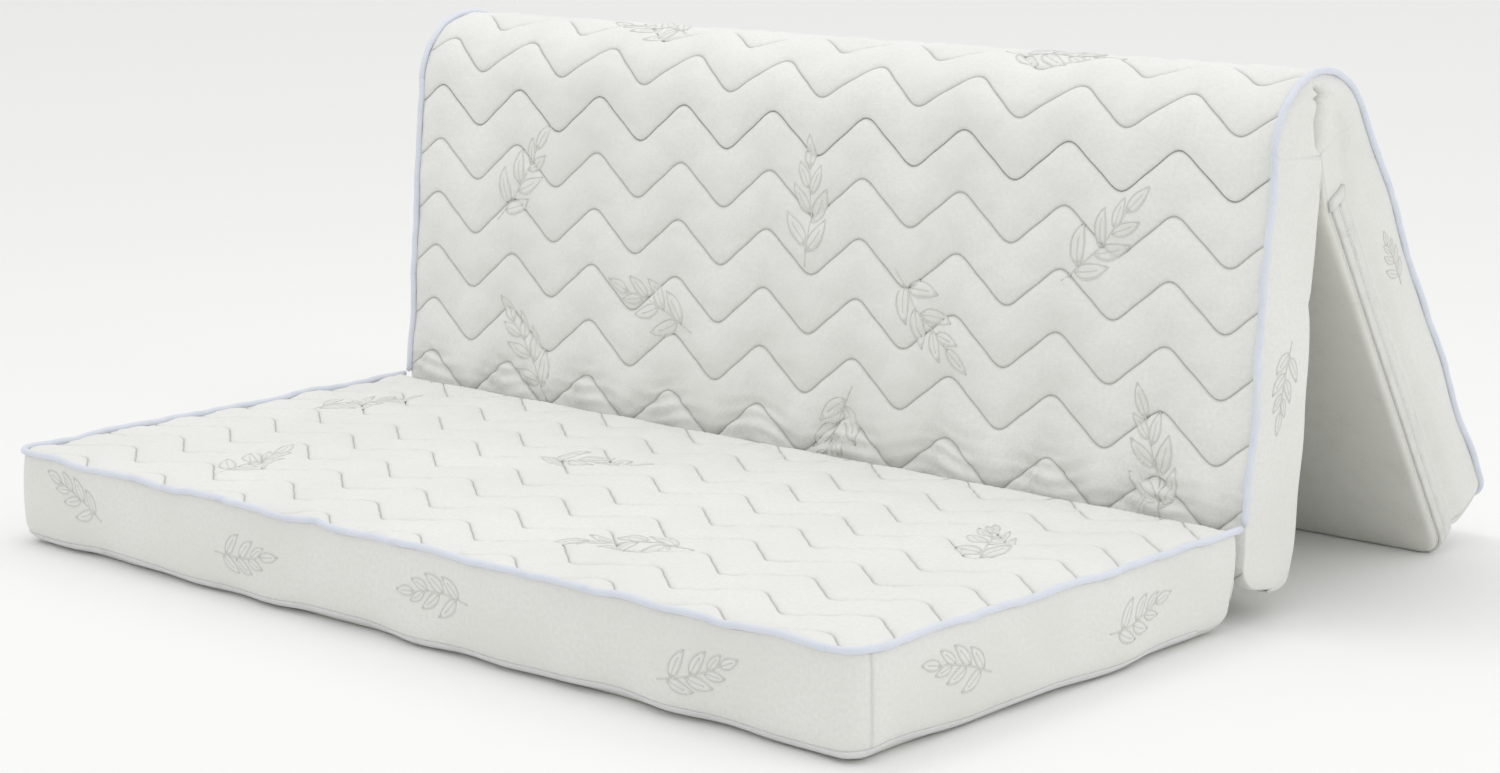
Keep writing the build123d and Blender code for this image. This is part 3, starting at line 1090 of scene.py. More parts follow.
# ---- quilted top ----
@dataclass
class QuiltPanel:
    """The stitched top panel, swollen by its wadding between zigzag rows of stitching."""

    period: float = 0.153
    swing: float = 0.0255       # half of a zigzag's height
    spacing: float = 0.0735     # row to row
    bands: int = 20
    width: float = 1.46
    columns: int = 182
    per_band: int = 9
    height: float = 0.0058
    harmonics: tuple = ((1, 1.0), (3, 0.080))   # straight flanks and rounded tips
    seed: int = 3
    frames: int = 20
    stiffness: float = 5.0      # against shear and compression; tension has four times this
    damping: float = 10.0
    pressure: float = 12.0
    shrink: float = -0.04       # below 0 the cloth grows, as the quilting needle feeds it full

    def __post_init__(self) -> None:
        self.field = self.simulate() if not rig.quick() else None

    def zig(self, x: np.ndarray) -> np.ndarray:
        """Draws the rounded zigzag that every row follows, with a peak at 0.

        Args:
            x: Across the panel.

        Returns:
            The zigzag's height.
        """
        turn = 2 * math.pi * np.asarray(x) / self.period
        shape = sum(share * np.cos(order * turn) for order, share in self.harmonics)
        return self.swing * shape / sum(share for _, share in self.harmonics)

    def simulate(self) -> np.ndarray:
        """Blows the panel up with Blender's cloth, held along its stitching.

        Returns:
            Heights over the rows and columns of the simulated grid.
        """
        xs = np.linspace(-self.width / 2, self.width / 2, self.columns)
        rows = self.bands * self.per_band + 1
        across, along = np.meshgrid(xs, np.linspace(0, self.bands * self.spacing, rows))
        seam = np.zeros(across.shape, bool)
        seam[:: self.per_band, :] = True
        seam[:, [0, -1]] = True
        rng = np.random.default_rng(self.seed)
        start = 0.0012 + 0.0006 * rng.standard_normal(across.shape)
        start[seam] = 0.0
        verts = np.stack([across, along + self.zig(across), start], -1).reshape(-1, 3)
        pad = make_mesh("panel_pad", verts + [0, 0, 1], grid_faces(rows, self.columns))
        group = pad.vertex_groups.new(name="stitching")
        group.add(np.flatnonzero(seam.ravel()).tolist(), 1.0, "REPLACE")
        cloth = pad.modifiers.new("cloth", "CLOTH")
        settings = cloth.settings
        settings.quality = 5
        settings.mass = 0.3
        settings.tension_stiffness = 4 * self.stiffness
        settings.compression_stiffness = self.stiffness
        settings.shear_stiffness = self.stiffness
        settings.bending_stiffness = 0.2
        settings.tension_damping = self.damping
        settings.compression_damping = self.damping
        settings.shear_damping = self.damping
        settings.use_pressure = True
        settings.uniform_pressure_force = self.pressure
        settings.vertex_group_mass = "stitching"
        settings.shrink_min = self.shrink
        settings.effector_weights.gravity = 0
        cloth.collision_settings.use_collision = False
        cloth.point_cache.frame_start = 1
        cloth.point_cache.frame_end = self.frames
        for number in range(1, self.frames + 1):
            bpy.context.scene.frame_set(number)
        graph = bpy.context.evaluated_depsgraph_get()
        swollen = np.zeros(len(verts) * 3, np.float32)
        pad.evaluated_get(graph).data.vertices.foreach_get("co", swollen)
        bpy.context.scene.frame_set(1)
        data = pad.data
        bpy.data.objects.remove(pad)
        bpy.data.meshes.remove(data)
        LOG.info("quilt panel: cloth simulated")
        return swollen.reshape(rows, self.columns, 3)[..., 2].astype(float) - 1

    def swell(self, x: np.ndarray, v: np.ndarray) -> np.ndarray:
        """Height of the filling over the stitching.

        Args:
            x: Across the panel, with a zigzag peak at 0.
            v: Along it, with a row of stitching at each multiple of the spacing.

        Returns:
            The heights: the simulated cloth over the dome that its wadding gives.
        """
        f = (v / self.spacing) % 1.0
        dome = np.sin(math.pi * f) ** 0.42
        if self.field is None:
            return self.height * dome
        rows, columns = self.field.shape
        ci = np.clip((x / self.width + 0.5) * (columns - 1), 0, columns - 1.001)
        ri = np.clip(v / (self.bands * self.spacing) * (rows - 1), 0, rows - 1.001)
        c0, r0 = ci.astype(int), ri.astype(int)
        cf, rf = ci - c0, ri - r0
        grid = self.field
        blown = (
            grid[r0, c0] * (1 - cf) * (1 - rf) + grid[r0, c0 + 1] * cf * (1 - rf)
            + grid[r0 + 1, c0] * (1 - cf) * rf + grid[r0 + 1, c0 + 1] * cf * rf
        )
        blown = np.maximum(blown, 0.3 * self.height * dome)
        return 0.45 * blown + 0.62 * self.height * dome


@dataclass
class QuiltCover:
    """A piece of the quilted top on one or two sections."""

    name: str
    panel: QuiltPanel
    section: Section
    first_row: float            # distance of the stitching row number 0
    phase: float                # x of a zigzag peak
    rows: tuple[int, int]       # stitching rows where the piece starts and ends
    clip: tuple[float, float]   # distances where the cloth is cut off
    row_shift: int = 2          # rows of the panel before this piece's row 0
    mirrored: bool = False
    seam_lift: float = -0.007
    edge_lift: float = -0.0012  # over the rounded fold ends, where the cloth lies on the foam
    pad_lift: float = -0.0175
    fractions: tuple[float, ...] = (0, 0.012, 0.03, 0.06, 0.1, 0.16, 0.23, 0.31, 0.4, 0.5,
                                    0.6, 0.69, 0.77, 0.84, 0.9, 0.94, 0.97, 0.988)
    column: float = 0.005
    nip: float = 0.092          # distance on the back where the seat presses against it
    spare: float = 0.004        # cloth outside the outline before it is cut
    thread_clear: float = 0.002 # the stitching stops short of a cut by this
    groove: tuple[float, float] = (0.0014, 0.0022)          # depth and width along the stitching
    pucker: tuple[float, float, float] = (0.0008, 0.024, 0.011)   # at the rim: height, pitch, reach
    roll: float = 0.010         # the cloth rolls over to the rim's seam on this
    gather: tuple[float, float] = (0.0026, 0.019)           # at the crease: height, pitch
    press: float = 0.0024       # half the width of the painted shade along the needle line
    margin: float = 0.006       # the pad's lower face lies inside its upper one by this

    def row_of(self, x: np.ndarray, s: np.ndarray) -> np.ndarray:
        """Distance past stitching row 0, measured square to the rows' mean line."""
        return s - self.panel.zig(x - self.phase) - self.wander(x) - self.first_row

    @staticmethod
    def wander(x: np.ndarray) -> np.ndarray:
        """Slow drift of the stitching rows."""
        return 0.0022 * np.sin(x * 5.1 + 1.3) + 0.0015 * np.sin(x * 11.7 + 0.4)

    def off_row(self, v: np.ndarray) -> np.ndarray:
        """Distance to the nearest row of stitching."""
        return np.minimum(v % self.panel.spacing, -v % self.panel.spacing)

    def lift_at(self, x: np.ndarray, s: np.ndarray) -> np.ndarray:
        """Works out how high the cloth stands over the section's quilted face.

        Args:
            x: Along the long side.
            s: Along the quilted face.

        Returns:
            The heights.
        """
        v = self.row_of(x, s)
        xp = x - self.phase
        if self.mirrored:
            xp = -xp
        swell = self.panel.swell(xp, v + self.row_shift * self.panel.spacing)
        depth, width = self.groove
        groove = -depth * np.exp(-((self.off_row(v) / width) ** 2))
        fold = self.section.fold_share(s)
        base = self.seam_lift * (1 - fold) + self.edge_lift * fold
        lift = base + swell * (1 - 0.85 * fold) + groove * (1 - 0.7 * fold)
        lift = lift + self.gathers(x, s) * (1 - fold)
        gap = self.section.rim_gap(x, s)
        run = x + s
        height, pitch, reach = self.pucker
        pucker = np.sin(2 * math.pi * run / pitch + 1.9 * np.sin(run * 33))
        lift = lift + height * pucker * np.exp(-gap / reach)
        edge = smooth(gap / self.roll) ** 0.6
        drop = -self.section.drop_at(s)
        return drop + (lift - drop) * edge

    def gathers(self, x: np.ndarray, s: np.ndarray) -> np.ndarray:
        """Draws the short creases that run along the crease between seat and back.

        Args:
            x: Along the long side.
            s: Along the quilted face.

        Returns:
            Their height.
        """
        if self.section.part is Part.SEAT:
            near = 0.6 * smooth(1 - np.abs(s - MATTRESS.lay.seat_flat) / 0.05)
        else:
            near = smooth(1 - np.abs(s - self.nip) / 0.062)
        under = 0.5 + 0.5 * np.cos(2 * math.pi * (x - self.phase) / self.panel.period)
        height, pitch = self.gather
        ripple = np.sin(2 * math.pi * s / pitch + 2.4 * np.sin(x * 21.0) + 1.7 * np.sin(x * 47.0))
        return height * near * (0.25 + 0.75 * under) * ripple

    def place(self, x: np.ndarray, s: np.ndarray, lift: np.ndarray) -> np.ndarray:
        """Places the cloth, with the rim's ripples.

        Args:
            x: Along the long side.
            s: Along the quilted face.
            lift: Height over that face.

        Returns:
            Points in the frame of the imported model.
        """
        near = smooth(1 - self.section.rim_gap(x, s) / RIM_REACH)
        side = smooth(1 - (self.section.half - np.abs(x)) / RIM_REACH)
        out = self.section.rim_out.at(x, s)
        lifted = lift + self.section.rim_up.at(x, s) * near
        ends = 0.0
        if self.section.free is not None:
            end = (self.section.free - s) * self.section.free_sign
            ends = self.section.free_sign * smooth(1 - end / RIM_REACH) * out
        yz = self.section.top.at(s + ends, lifted)
        moved = x + np.sign(x) * out * side
        return np.column_stack([moved + self.section.middle, yz])

    def grid(self) -> tuple[np.ndarray, np.ndarray]:
        """Returns cloth coordinates (x, s) and quads before the outline is cut."""
        half = self.section.half + self.spare
        xs = np.linspace(-half, half, round(2 * half / self.column) + 1)
        start, end = self.rows
        v = [(row + f) * self.panel.spacing for row in range(start, end) for f in self.fractions]
        v.append(end * self.panel.spacing)
        across, along = np.meshgrid(xs, np.array(v))
        s = along + self.first_row + self.panel.zig(across - self.phase) + self.wander(across)
        return np.stack([across, s], -1).reshape(-1, 2), grid_faces(len(v), len(xs))

    def cut(self, flat: np.ndarray, faces: np.ndarray) -> tuple[np.ndarray, list]:
        """Cuts the cloth along its outline.

        Args:
            flat: Cloth coordinates.
            faces: Quads.

        Returns:
            The cloth coordinates that stay, and their faces.
        """
        mesh = bpy.data.meshes.new("cut")
        mesh.from_pydata(np.column_stack([flat, np.zeros(len(flat))]).tolist(), [], faces.tolist())
        work = bmesh.new()
        work.from_mesh(mesh)
        bpy.data.meshes.remove(mesh)
        half = self.section.half
        planes = [((half, 0), (1, 0)), ((-half, 0), (-1, 0)),
                  ((0, self.clip[0]), (0, -1)), ((0, self.clip[1]), (0, 1))]
        if self.section.free is not None:
            r = self.section.corner
            sign = self.section.free_sign
            centre_s = self.section.free - sign * r
            facets = 8
            for side in (-1, 1):
                for k in range(1, facets):
                    a = math.pi / 2 * k / facets
                    nx, ns = side * math.cos(a), sign * math.sin(a)
                    planes.append(((side * (half - r) + nx * r, centre_s + ns * r), (nx, ns)))
        for (px, ps), (nx, ns) in planes:
            bmesh.ops.bisect_plane(
                work, geom=work.verts[:] + work.edges[:] + work.faces[:], dist=1e-6,
                plane_co=(px, ps, 0), plane_no=(nx, ns, 0), clear_outer=True,
            )
        work.verts.index_update()
        points = np.array([vert.co[:2] for vert in work.verts])
        kept = [[vert.index for vert in face.verts] for face in work.faces]
        work.free()
        return points, kept

    def build(self) -> bpy.types.Object:
        """Makes the closed quilted pad and returns it."""
        flat, faces = self.cut(*self.grid())
        x, s = flat[:, 0], flat[:, 1]
        top = self.place(x, s, self.lift_at(x, s))
        fold = self.section.fold_share(s)
        shrink = 1 - self.margin / self.section.half
        inner_s = s
        if self.section.free is not None:
            near = smooth(1 - (self.section.free - s) * self.section.free_sign / RIM_REACH)
            inner_s = s - self.section.free_sign * self.margin * near
        under_lift = self.pad_lift * (1 - fold) + (self.edge_lift - 0.004) * fold
        under = self.place(x * shrink, inner_s, under_lift)
        count = len(flat)
        edges: dict[tuple[int, int], tuple[int, int] | None] = {}
        for face in faces:
            for a, b in zip(face, face[1:] + face[:1]):
                key = (min(a, b), max(a, b))
                edges[key] = None if key in edges else (a, b)
        sides = [(b, a, a + count, b + count) for pair in edges.values() if pair for a, b in [pair]]
        lower = [[i + count for i in reversed(face)] for face in faces]
        verts = np.vstack([top, under])
        obj = make_mesh(self.name, verts, faces + lower + sides, np.vstack([flat, flat]))
        recalculate(obj)
        # painted shade mask: 1 on the stitching, fading to 0 within press of it
        seam_shade = np.clip(1 - self.off_row(self.row_of(x, s)) / self.press, 0, 1)
        mark = obj.data.attributes.new(SEAM_SHADE_MARK, "FLOAT", "POINT")
        mark.data.foreach_set("value", np.concatenate([seam_shade, 0 * seam_shade]).astype(np.float32))
        return obj

    def stitching(self, name: str, finish: bpy.types.Material) -> bpy.types.Object:
        """Makes the thread along the rows, with Geometry Nodes.

        Args:
            name: The piece's name.
            finish: The thread's material.

        Returns:
            The piece.
        """
        lines = []
        xs = np.arange(-self.section.half + self.spare, self.section.half - 0.003, 0.004)
        start, end = self.clip[0] + self.thread_clear, self.clip[1] - self.thread_clear
        for row in range(self.rows[0], self.rows[1] + 1):
            s = row * self.panel.spacing + self.first_row + self.panel.zig(xs - self.phase) + self.wander(xs)
            keep = (s > start) & (s < end) & (self.section.rim_gap(xs, s) > self.spare)
            for chain in np.split(np.arange(len(xs)), np.flatnonzero(np.diff(keep.astype(int))) + 1):
                if len(chain) > 2 and keep[chain[0]]:
                    x, at = xs[chain], s[chain]
                    lines.append(self.place(x, at, self.lift_at(x, at) + 0.0004))
        return StitchRow().build(name, lines, finish)


def recalculate(obj: bpy.types.Object) -> None:
    """Turns a closed piece's faces outwards."""
    work = bmesh.new()
    work.from_mesh(obj.data)
    bmesh.ops.recalc_face_normals(work, faces=work.faces[:])
    work.to_mesh(obj.data)
    work.free()


@dataclass
class StitchRow:
    """Short thread stitches that follow lines, made with Geometry Nodes."""

    pitch: float = 0.0042
    length: float = 0.0032
    radius: float = 0.00055

    def sizes(self) -> dict[str, float]:
        """The tree's inputs and their values."""
        return {"Pitch": self.pitch, "Stitch length": self.length, "Thread radius": self.radius}

    def tree(self, finish: bpy.types.Material) -> bpy.types.NodeTree:
        """Builds the node tree: a short rod of thread on each point of the lines.

        Args:
            finish: The thread's material.

        Returns:
            The tree.
        """
        tree = bpy.data.node_groups.new("stitch_rows", "GeometryNodeTree")
        face = tree.interface
        face.new_socket("Lines", in_out="INPUT", socket_type="NodeSocketGeometry")
        for name in self.sizes():
            face.new_socket(name, in_out="INPUT", socket_type="NodeSocketFloat")
        face.new_socket("Stitches", in_out="OUTPUT", socket_type="NodeSocketGeometry")
        given = add_node(tree, "NodeGroupInput")
        curve = add_node(tree, "GeometryNodeMeshToCurve", {0: given.outputs["Lines"]})
        points = add_node(
            tree, "GeometryNodeResampleCurve",
            {"Curve": curve.outputs[0], "Length": given.outputs["Pitch"]}, mode="LENGTH",
        )
        tangent = add_node(tree, "GeometryNodeInputTangent")
        facing = add_node(
            tree, "FunctionNodeAlignRotationToVector", {"Vector": tangent.outputs[0]}, axis="Z",
        )
        thread = add_node(
            tree, "GeometryNodeMeshCylinder",
            {"Vertices": 5, "Side Segments": 1, "Radius": given.outputs["Thread radius"],
             "Depth": given.outputs["Stitch length"]},
            fill_type="TRIANGLE_FAN",
        )
        placed = add_node(
            tree, "GeometryNodeInstanceOnPoints",
            {"Points": points.outputs[0], "Instance": thread.outputs[0], "Rotation": facing.outputs[0]},
        )
        real = add_node(tree, "GeometryNodeRealizeInstances", {0: placed.outputs[0]})
        dressed = add_node(tree, "GeometryNodeSetMaterial", {"Geometry": real.outputs[0], "Material": finish})
        add_node(tree, "NodeGroupOutput", {0: dressed.outputs[0]})
        return tree

    def build(self, name: str, lines: list[np.ndarray], finish: bpy.types.Material) -> bpy.types.Object:
        """Makes the stitches as one plain mesh.

        Args:
            name: The piece's name.
            lines: The points of each line.
            finish: The thread's material.

        Returns:
            The piece.
        """
        verts = np.vstack(lines)
        edges, start = [], 0
        for line in lines:
            edges += [(start + i, start + i + 1) for i in range(len(line) - 1)]
            start += len(line)
        obj = wire(name, verts, edges)
        grow(obj, self.tree(finish), self.sizes())
        return obj


# ---- tubes, bands and undersides ----
def tube(name: str, path: np.ndarray, radius: float, sides: int = 12) -> bpy.types.Object:
    """Makes a closed tube along a path, with blunt tips.

    Args:
        name: The piece's name.
        path: Points, one row each.
        radius: Of the tube.
        sides: Points round it.

    Returns:
        The piece.
    """
    tangent = np.gradient(path, axis=0)
    tangent /= np.linalg.norm(tangent, axis=1)[:, None]
    up = np.array([0.0, 0.0, 1.0])
    if abs(tangent[len(path) // 2] @ up) > 0.8:
        up = np.array([1.0, 0.0, 0.0])
    first = np.cross(tangent, up)
    bad = np.linalg.norm(first, axis=1) < 0.2
    first[bad] = np.cross(tangent[bad], [0.0, 1.0, 0.0])
    frames = [first[0] / np.linalg.norm(first[0])]
    for k in range(1, len(path)):
        side = frames[-1] - tangent[k] * (frames[-1] @ tangent[k])
        frames.append(side / np.linalg.norm(side))
    side = np.array(frames)
    lift = np.cross(tangent, side)
    angle = np.linspace(0, 2 * math.pi, sides, endpoint=False)
    ring = side[:, None] * np.cos(angle)[:, None] + lift[:, None] * np.sin(angle)[:, None]
    verts = (path[:, None] + ring * radius).reshape(-1, 3)
    faces = grid_faces(len(path), sides, closed=True).tolist()
    ends = []
    for index, sign in ((0, -1), (len(path) - 1, 1)):
        tip = path[index] + tangent[index] * sign * radius * 0.5
        ends.append(tip)
        number = len(verts) + len(ends) - 1
        base = index * sides
        for k in range(sides):
            faces.append([base + k, base + (k + 1) % sides, number])
    verts = np.vstack([verts, ends])
    length = np.concatenate([[0], np.cumsum(np.linalg.norm(np.diff(path, axis=0), axis=1))])
    uv = np.stack(np.broadcast_arrays(length[:, None], angle[None] * radius), -1).reshape(-1, 2)
    uv = np.vstack([uv, uv[:1], uv[-1:]])
    obj = make_mesh(name, verts, faces, uv)
    recalculate(obj)
    return obj


def sheet_mesh(
    name: str, points: np.ndarray, uv: np.ndarray, thickness: float, outward: bool
) -> bpy.types.Object:
    """Makes a thick sheet through a grid of points.

    Args:
        name: The piece's name.
        points: rows by columns by 3.
        uv: rows by columns by 2, in metres.
        thickness: Of the cloth, taken inwards.
        outward: True where the grid's own normals already point outwards.

    Returns:
        The piece.
    """
    rows, columns = points.shape[:2]
    faces = grid_faces(rows, columns)
    if not outward:
        faces = faces[:, ::-1]
    obj = make_mesh(name, points.reshape(-1, 3), faces, uv.reshape(-1, 2))
    thicken(obj, thickness)
    return obj


def stretched(obj: bpy.types.Object, width: float, length: float, body: str) -> None:
    """Declares a cover panel that is sewn tight round a section's foam.

    Args:
        obj: The panel.
        width: The cut's short side.
        length: The cut's long side.
        body: The section's body.
    """
    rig.sheet(obj, flat=(round(width, 3), round(length, 3)), held="stretched", rests_on=[f"{body}_foam_core"])
    LOG.info("%s: cut %.3f by %.3f m", obj.name, width, length)


class Borders:
    """Piping, bands and tapes round one section."""

    CORD = 0.0040
    WALL = np.array([0, 0.02, 0.05, 0.09, 0.14, 0.2, 0.27, 0.34, 0.42, 0.5,
                     0.58, 0.66, 0.73, 0.8, 0.86, 0.91, 0.955, 0.985, 1.0])
    NEAR = np.array([0, 0.002, 0.005, 0.009, 0.014, 0.02, 0.03, 0.05])

    def __init__(self, section: Section) -> None:
        """Keeps the section."""
        self.section = section
        self.body = section.part.value

    def piping_path(self, rim: np.ndarray) -> np.ndarray:
        """Draws the cord's centre line.

        Args:
            rim: Rows as rim() or side() gives them.

        Returns:
            Its points.
        """
        section = self.section
        x, s = rim[:, 0], rim[:, 1]
        up = section.rim_up.at(x, s) + section.kink.at(x, s)
        yz = section.top.at(s, -0.002 + up)
        out = section.outward(rim) * (0.0015 + section.rim_out.at(x, s) + section.kink.at(s, x))[:, None]
        return np.column_stack([x + section.middle, yz]) + out

    def piping(self, name: str, rim: np.ndarray, *nodes: str, tail: float = 0.0) -> bpy.types.Object:
        """Makes the covered cord and lets it ride on its body.

        Args:
            name: The piece's name.
            rim: Rows as rim() or side() gives them.
            *nodes: CAD nodes that it stands for.
            tail: How far both ends go straight on past the rim.

        Returns:
            The piece.
        """
        path = self.piping_path(rim)
        if tail:
            share = np.linspace(0, 1, 5)[1:, None]
            before = path[0] - path[2]
            after = path[-1] - path[-3]
            head = path[0] + before / np.linalg.norm(before) * tail * share[::-1]
            path = np.vstack([head, path, path[-1] + after / np.linalg.norm(after) * tail * share])
        obj = tube(name, path, self.CORD)
        dress(obj, MATERIALS["piping"], "piping", *nodes)
        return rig.ride(obj, self.body)

    def band(self, name: str, rim: np.ndarray, *nodes: str) -> bpy.types.Object:
        """Makes one band of plain cloth.

        Args:
            name: The piece's name.
            rim: Rows as rim() or side() gives them.
            *nodes: CAD nodes that it stands for.

        Returns:
            The piece.
        """
        points = self.section.wall(rim, self.WALL)
        points[..., 0] += self.section.middle
        middle = len(points) // 2
        step = np.concatenate([[0], np.cumsum(np.linalg.norm(np.diff(points[:, 9], axis=0), axis=1))])
        down = np.concatenate([[0], np.cumsum(np.linalg.norm(np.diff(points[middle], axis=0), axis=1))])
        uv = np.stack(np.broadcast_arrays(step[:, None], down[None]), -1)
        normal = np.cross(points[middle + 1, 9] - points[middle, 9], points[middle, 10] - points[middle, 9])
        outward = self.section.outward(rim[middle : middle + 1])[0]
        obj = sheet_mesh(name, points, uv, 0.0022, bool(normal @ outward < 0))
        dress(obj, MATERIALS["band"], "band_cloth", *nodes)
        stretched(obj, float(down.max()), float(step[-1]), self.body)
        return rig.ride(obj, self.body)

    def underside(self, name: str, *nodes: str) -> bpy.types.Object:
        """Makes the base cloth, turned up to the bottom seam.

        Args:
            name: The piece's name.
            *nodes: CAD nodes that it stands for.

        Returns:
            The piece.
        """
        section = self.section
        near = self.NEAR
        start = float(section.inset(np.array(section.hem)))
        high = section.low.end
        if section.free is None:
            b = np.linspace(0.0, high, 90)
        elif section.free_sign < 0:
            b = np.linspace(0.0, high - start - near[-1], 80)[:-1]
            b = np.concatenate([b, (high - start - near)[::-1]])
        else:
            b = np.concatenate([start + near, np.linspace(start + near[-1], high, 80)[1:]])
        s = section.top_distance(b)
        reach = section.half - section.inset(section.hem_at(b) + section.floor_height(b))
        if section.free is not None:
            into = np.clip(np.abs(section.free - s) - start, 0, section.corner)
            r = section.corner - start
            reach = reach - r + np.sqrt(np.maximum(r**2 - np.clip(r - into, 0, r) ** 2, 0))
        inner = np.linspace(-1, 1, 41)[1:-1]
        xx = np.stack([
            np.concatenate([-w + near, (w - near[-1]) * inner, (w - near)[::-1]]) for w in reach
        ])
        bb = np.broadcast_to(b[:, None], xx.shape)
        ss = np.broadcast_to(s[:, None], xx.shape)
        gap = section.rim_gap(xx, ss)
        rise = np.clip(section.edge - gap, 0, section.edge)
        curve = section.edge - np.sqrt(section.edge**2 - rise**2)
        lift = -np.maximum(curve - section.floor_height(b)[:, None], 0)
        first = gap <= np.minimum(gap[:, :1], gap[:, -1:]) + 1e-6
        lift = np.where(first, -section.hem_at(b)[:, None], lift)
        out = 0 * xx
        if section.calm == 0:
            rise_reach, out_reach = 0.014, 0.03
            rim_x = np.where(section.half - np.abs(xx) < RIM_REACH, np.sign(xx) * section.half, xx)
            weight = 1 - smooth(section.floor_height(b) / FOLD_REACH)
            weight = smooth(1 - (gap - start) / rise_reach) * weight[:, None]
            lift = lift - section.hem_up.at(rim_x, ss) * weight
            head = section.top.at(s, -section.drop_at(s))
            foot = section.low.at(b, -section.hem_at(b))
            tall = np.linalg.norm(head - foot, axis=1)
            size = smooth(1 - (gap - start) / out_reach) * np.clip(tall / FULL_HEIGHT, 0, 1)[:, None]
            out = section.hem_out.at(rim_x, ss) * size
        yz = section.low.at(bb, lift)
        side = smooth(1 - (section.half - np.abs(xx)) / RIM_REACH)
        points = np.concatenate([(xx + np.sign(xx) * out * side + section.middle)[..., None], yz], -1)
        if section.free is not None:
            end = smooth(1 - np.abs(section.free - ss) / RIM_REACH) * out * section.free_sign
            along = section.top.along(s)[:, None, :] * end[..., None]
            points[..., 1:] += along
        uv = np.stack([xx, bb], -1)
        r, c = len(b) // 2, xx.shape[1] // 2
        normal = np.cross(points[r, c + 1] - points[r, c], points[r + 1, c] - points[r, c])
        heading = section.low.along(np.array([b[r]]))[0]
        outward = np.array([0, -heading[1], heading[0]])
        obj = sheet_mesh(name, points, uv, 0.002, bool(normal @ outward > 0))
        dress(obj, MATERIALS["base"], "underside_cloth", *nodes)
        stretched(obj, section.low.end, 2 * section.half, self.body)
        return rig.ride(obj, self.body)

    def tape(
        self, name: str, rim: np.ndarray, low: float, high: float, proud: float, key: str, slot: str,
        *nodes: str,
    ) -> bpy.types.Object:
        """Makes a flat tape sewn round the band.

        Args:
            name: The piece's name.
            rim: Rows as rim() or side() gives them.
            low: Height of its lower edge over the underside.
            high: Height of its upper edge.
            proud: How far it stands out of the band.
            key: Its finish.
            slot: Its material slot.
            *nodes: CAD nodes that it stands for.

        Returns:
            The piece.
        """
        count = 5
        heights = np.linspace(low, high, count)
        face = self.section.strip(rim, heights, np.full(count, proud))
        inner = self.section.strip(rim, heights[::-1], np.zeros(count))
        ring = np.concatenate([face, inner], axis=1)
        ring[..., 0] += self.section.middle
        rows, columns = ring.shape[:2]
        faces = grid_faces(rows, columns, closed=True).tolist()
        faces += [list(range(columns)), [(rows - 1) * columns + k for k in range(columns)]]
        run = np.concatenate([[0], np.cumsum(np.linalg.norm(np.diff(ring[:, 0], axis=0), axis=1))])
        uv = np.stack(np.broadcast_arrays(run[:, None], np.concatenate([heights, heights[::-1]])[None]), -1)
        obj = make_mesh(name, ring.reshape(-1, 3), faces, uv.reshape(-1, 2))
        recalculate(obj)
        dress(obj, MATERIALS[key], slot, *nodes)
        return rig.ride(obj, self.body)


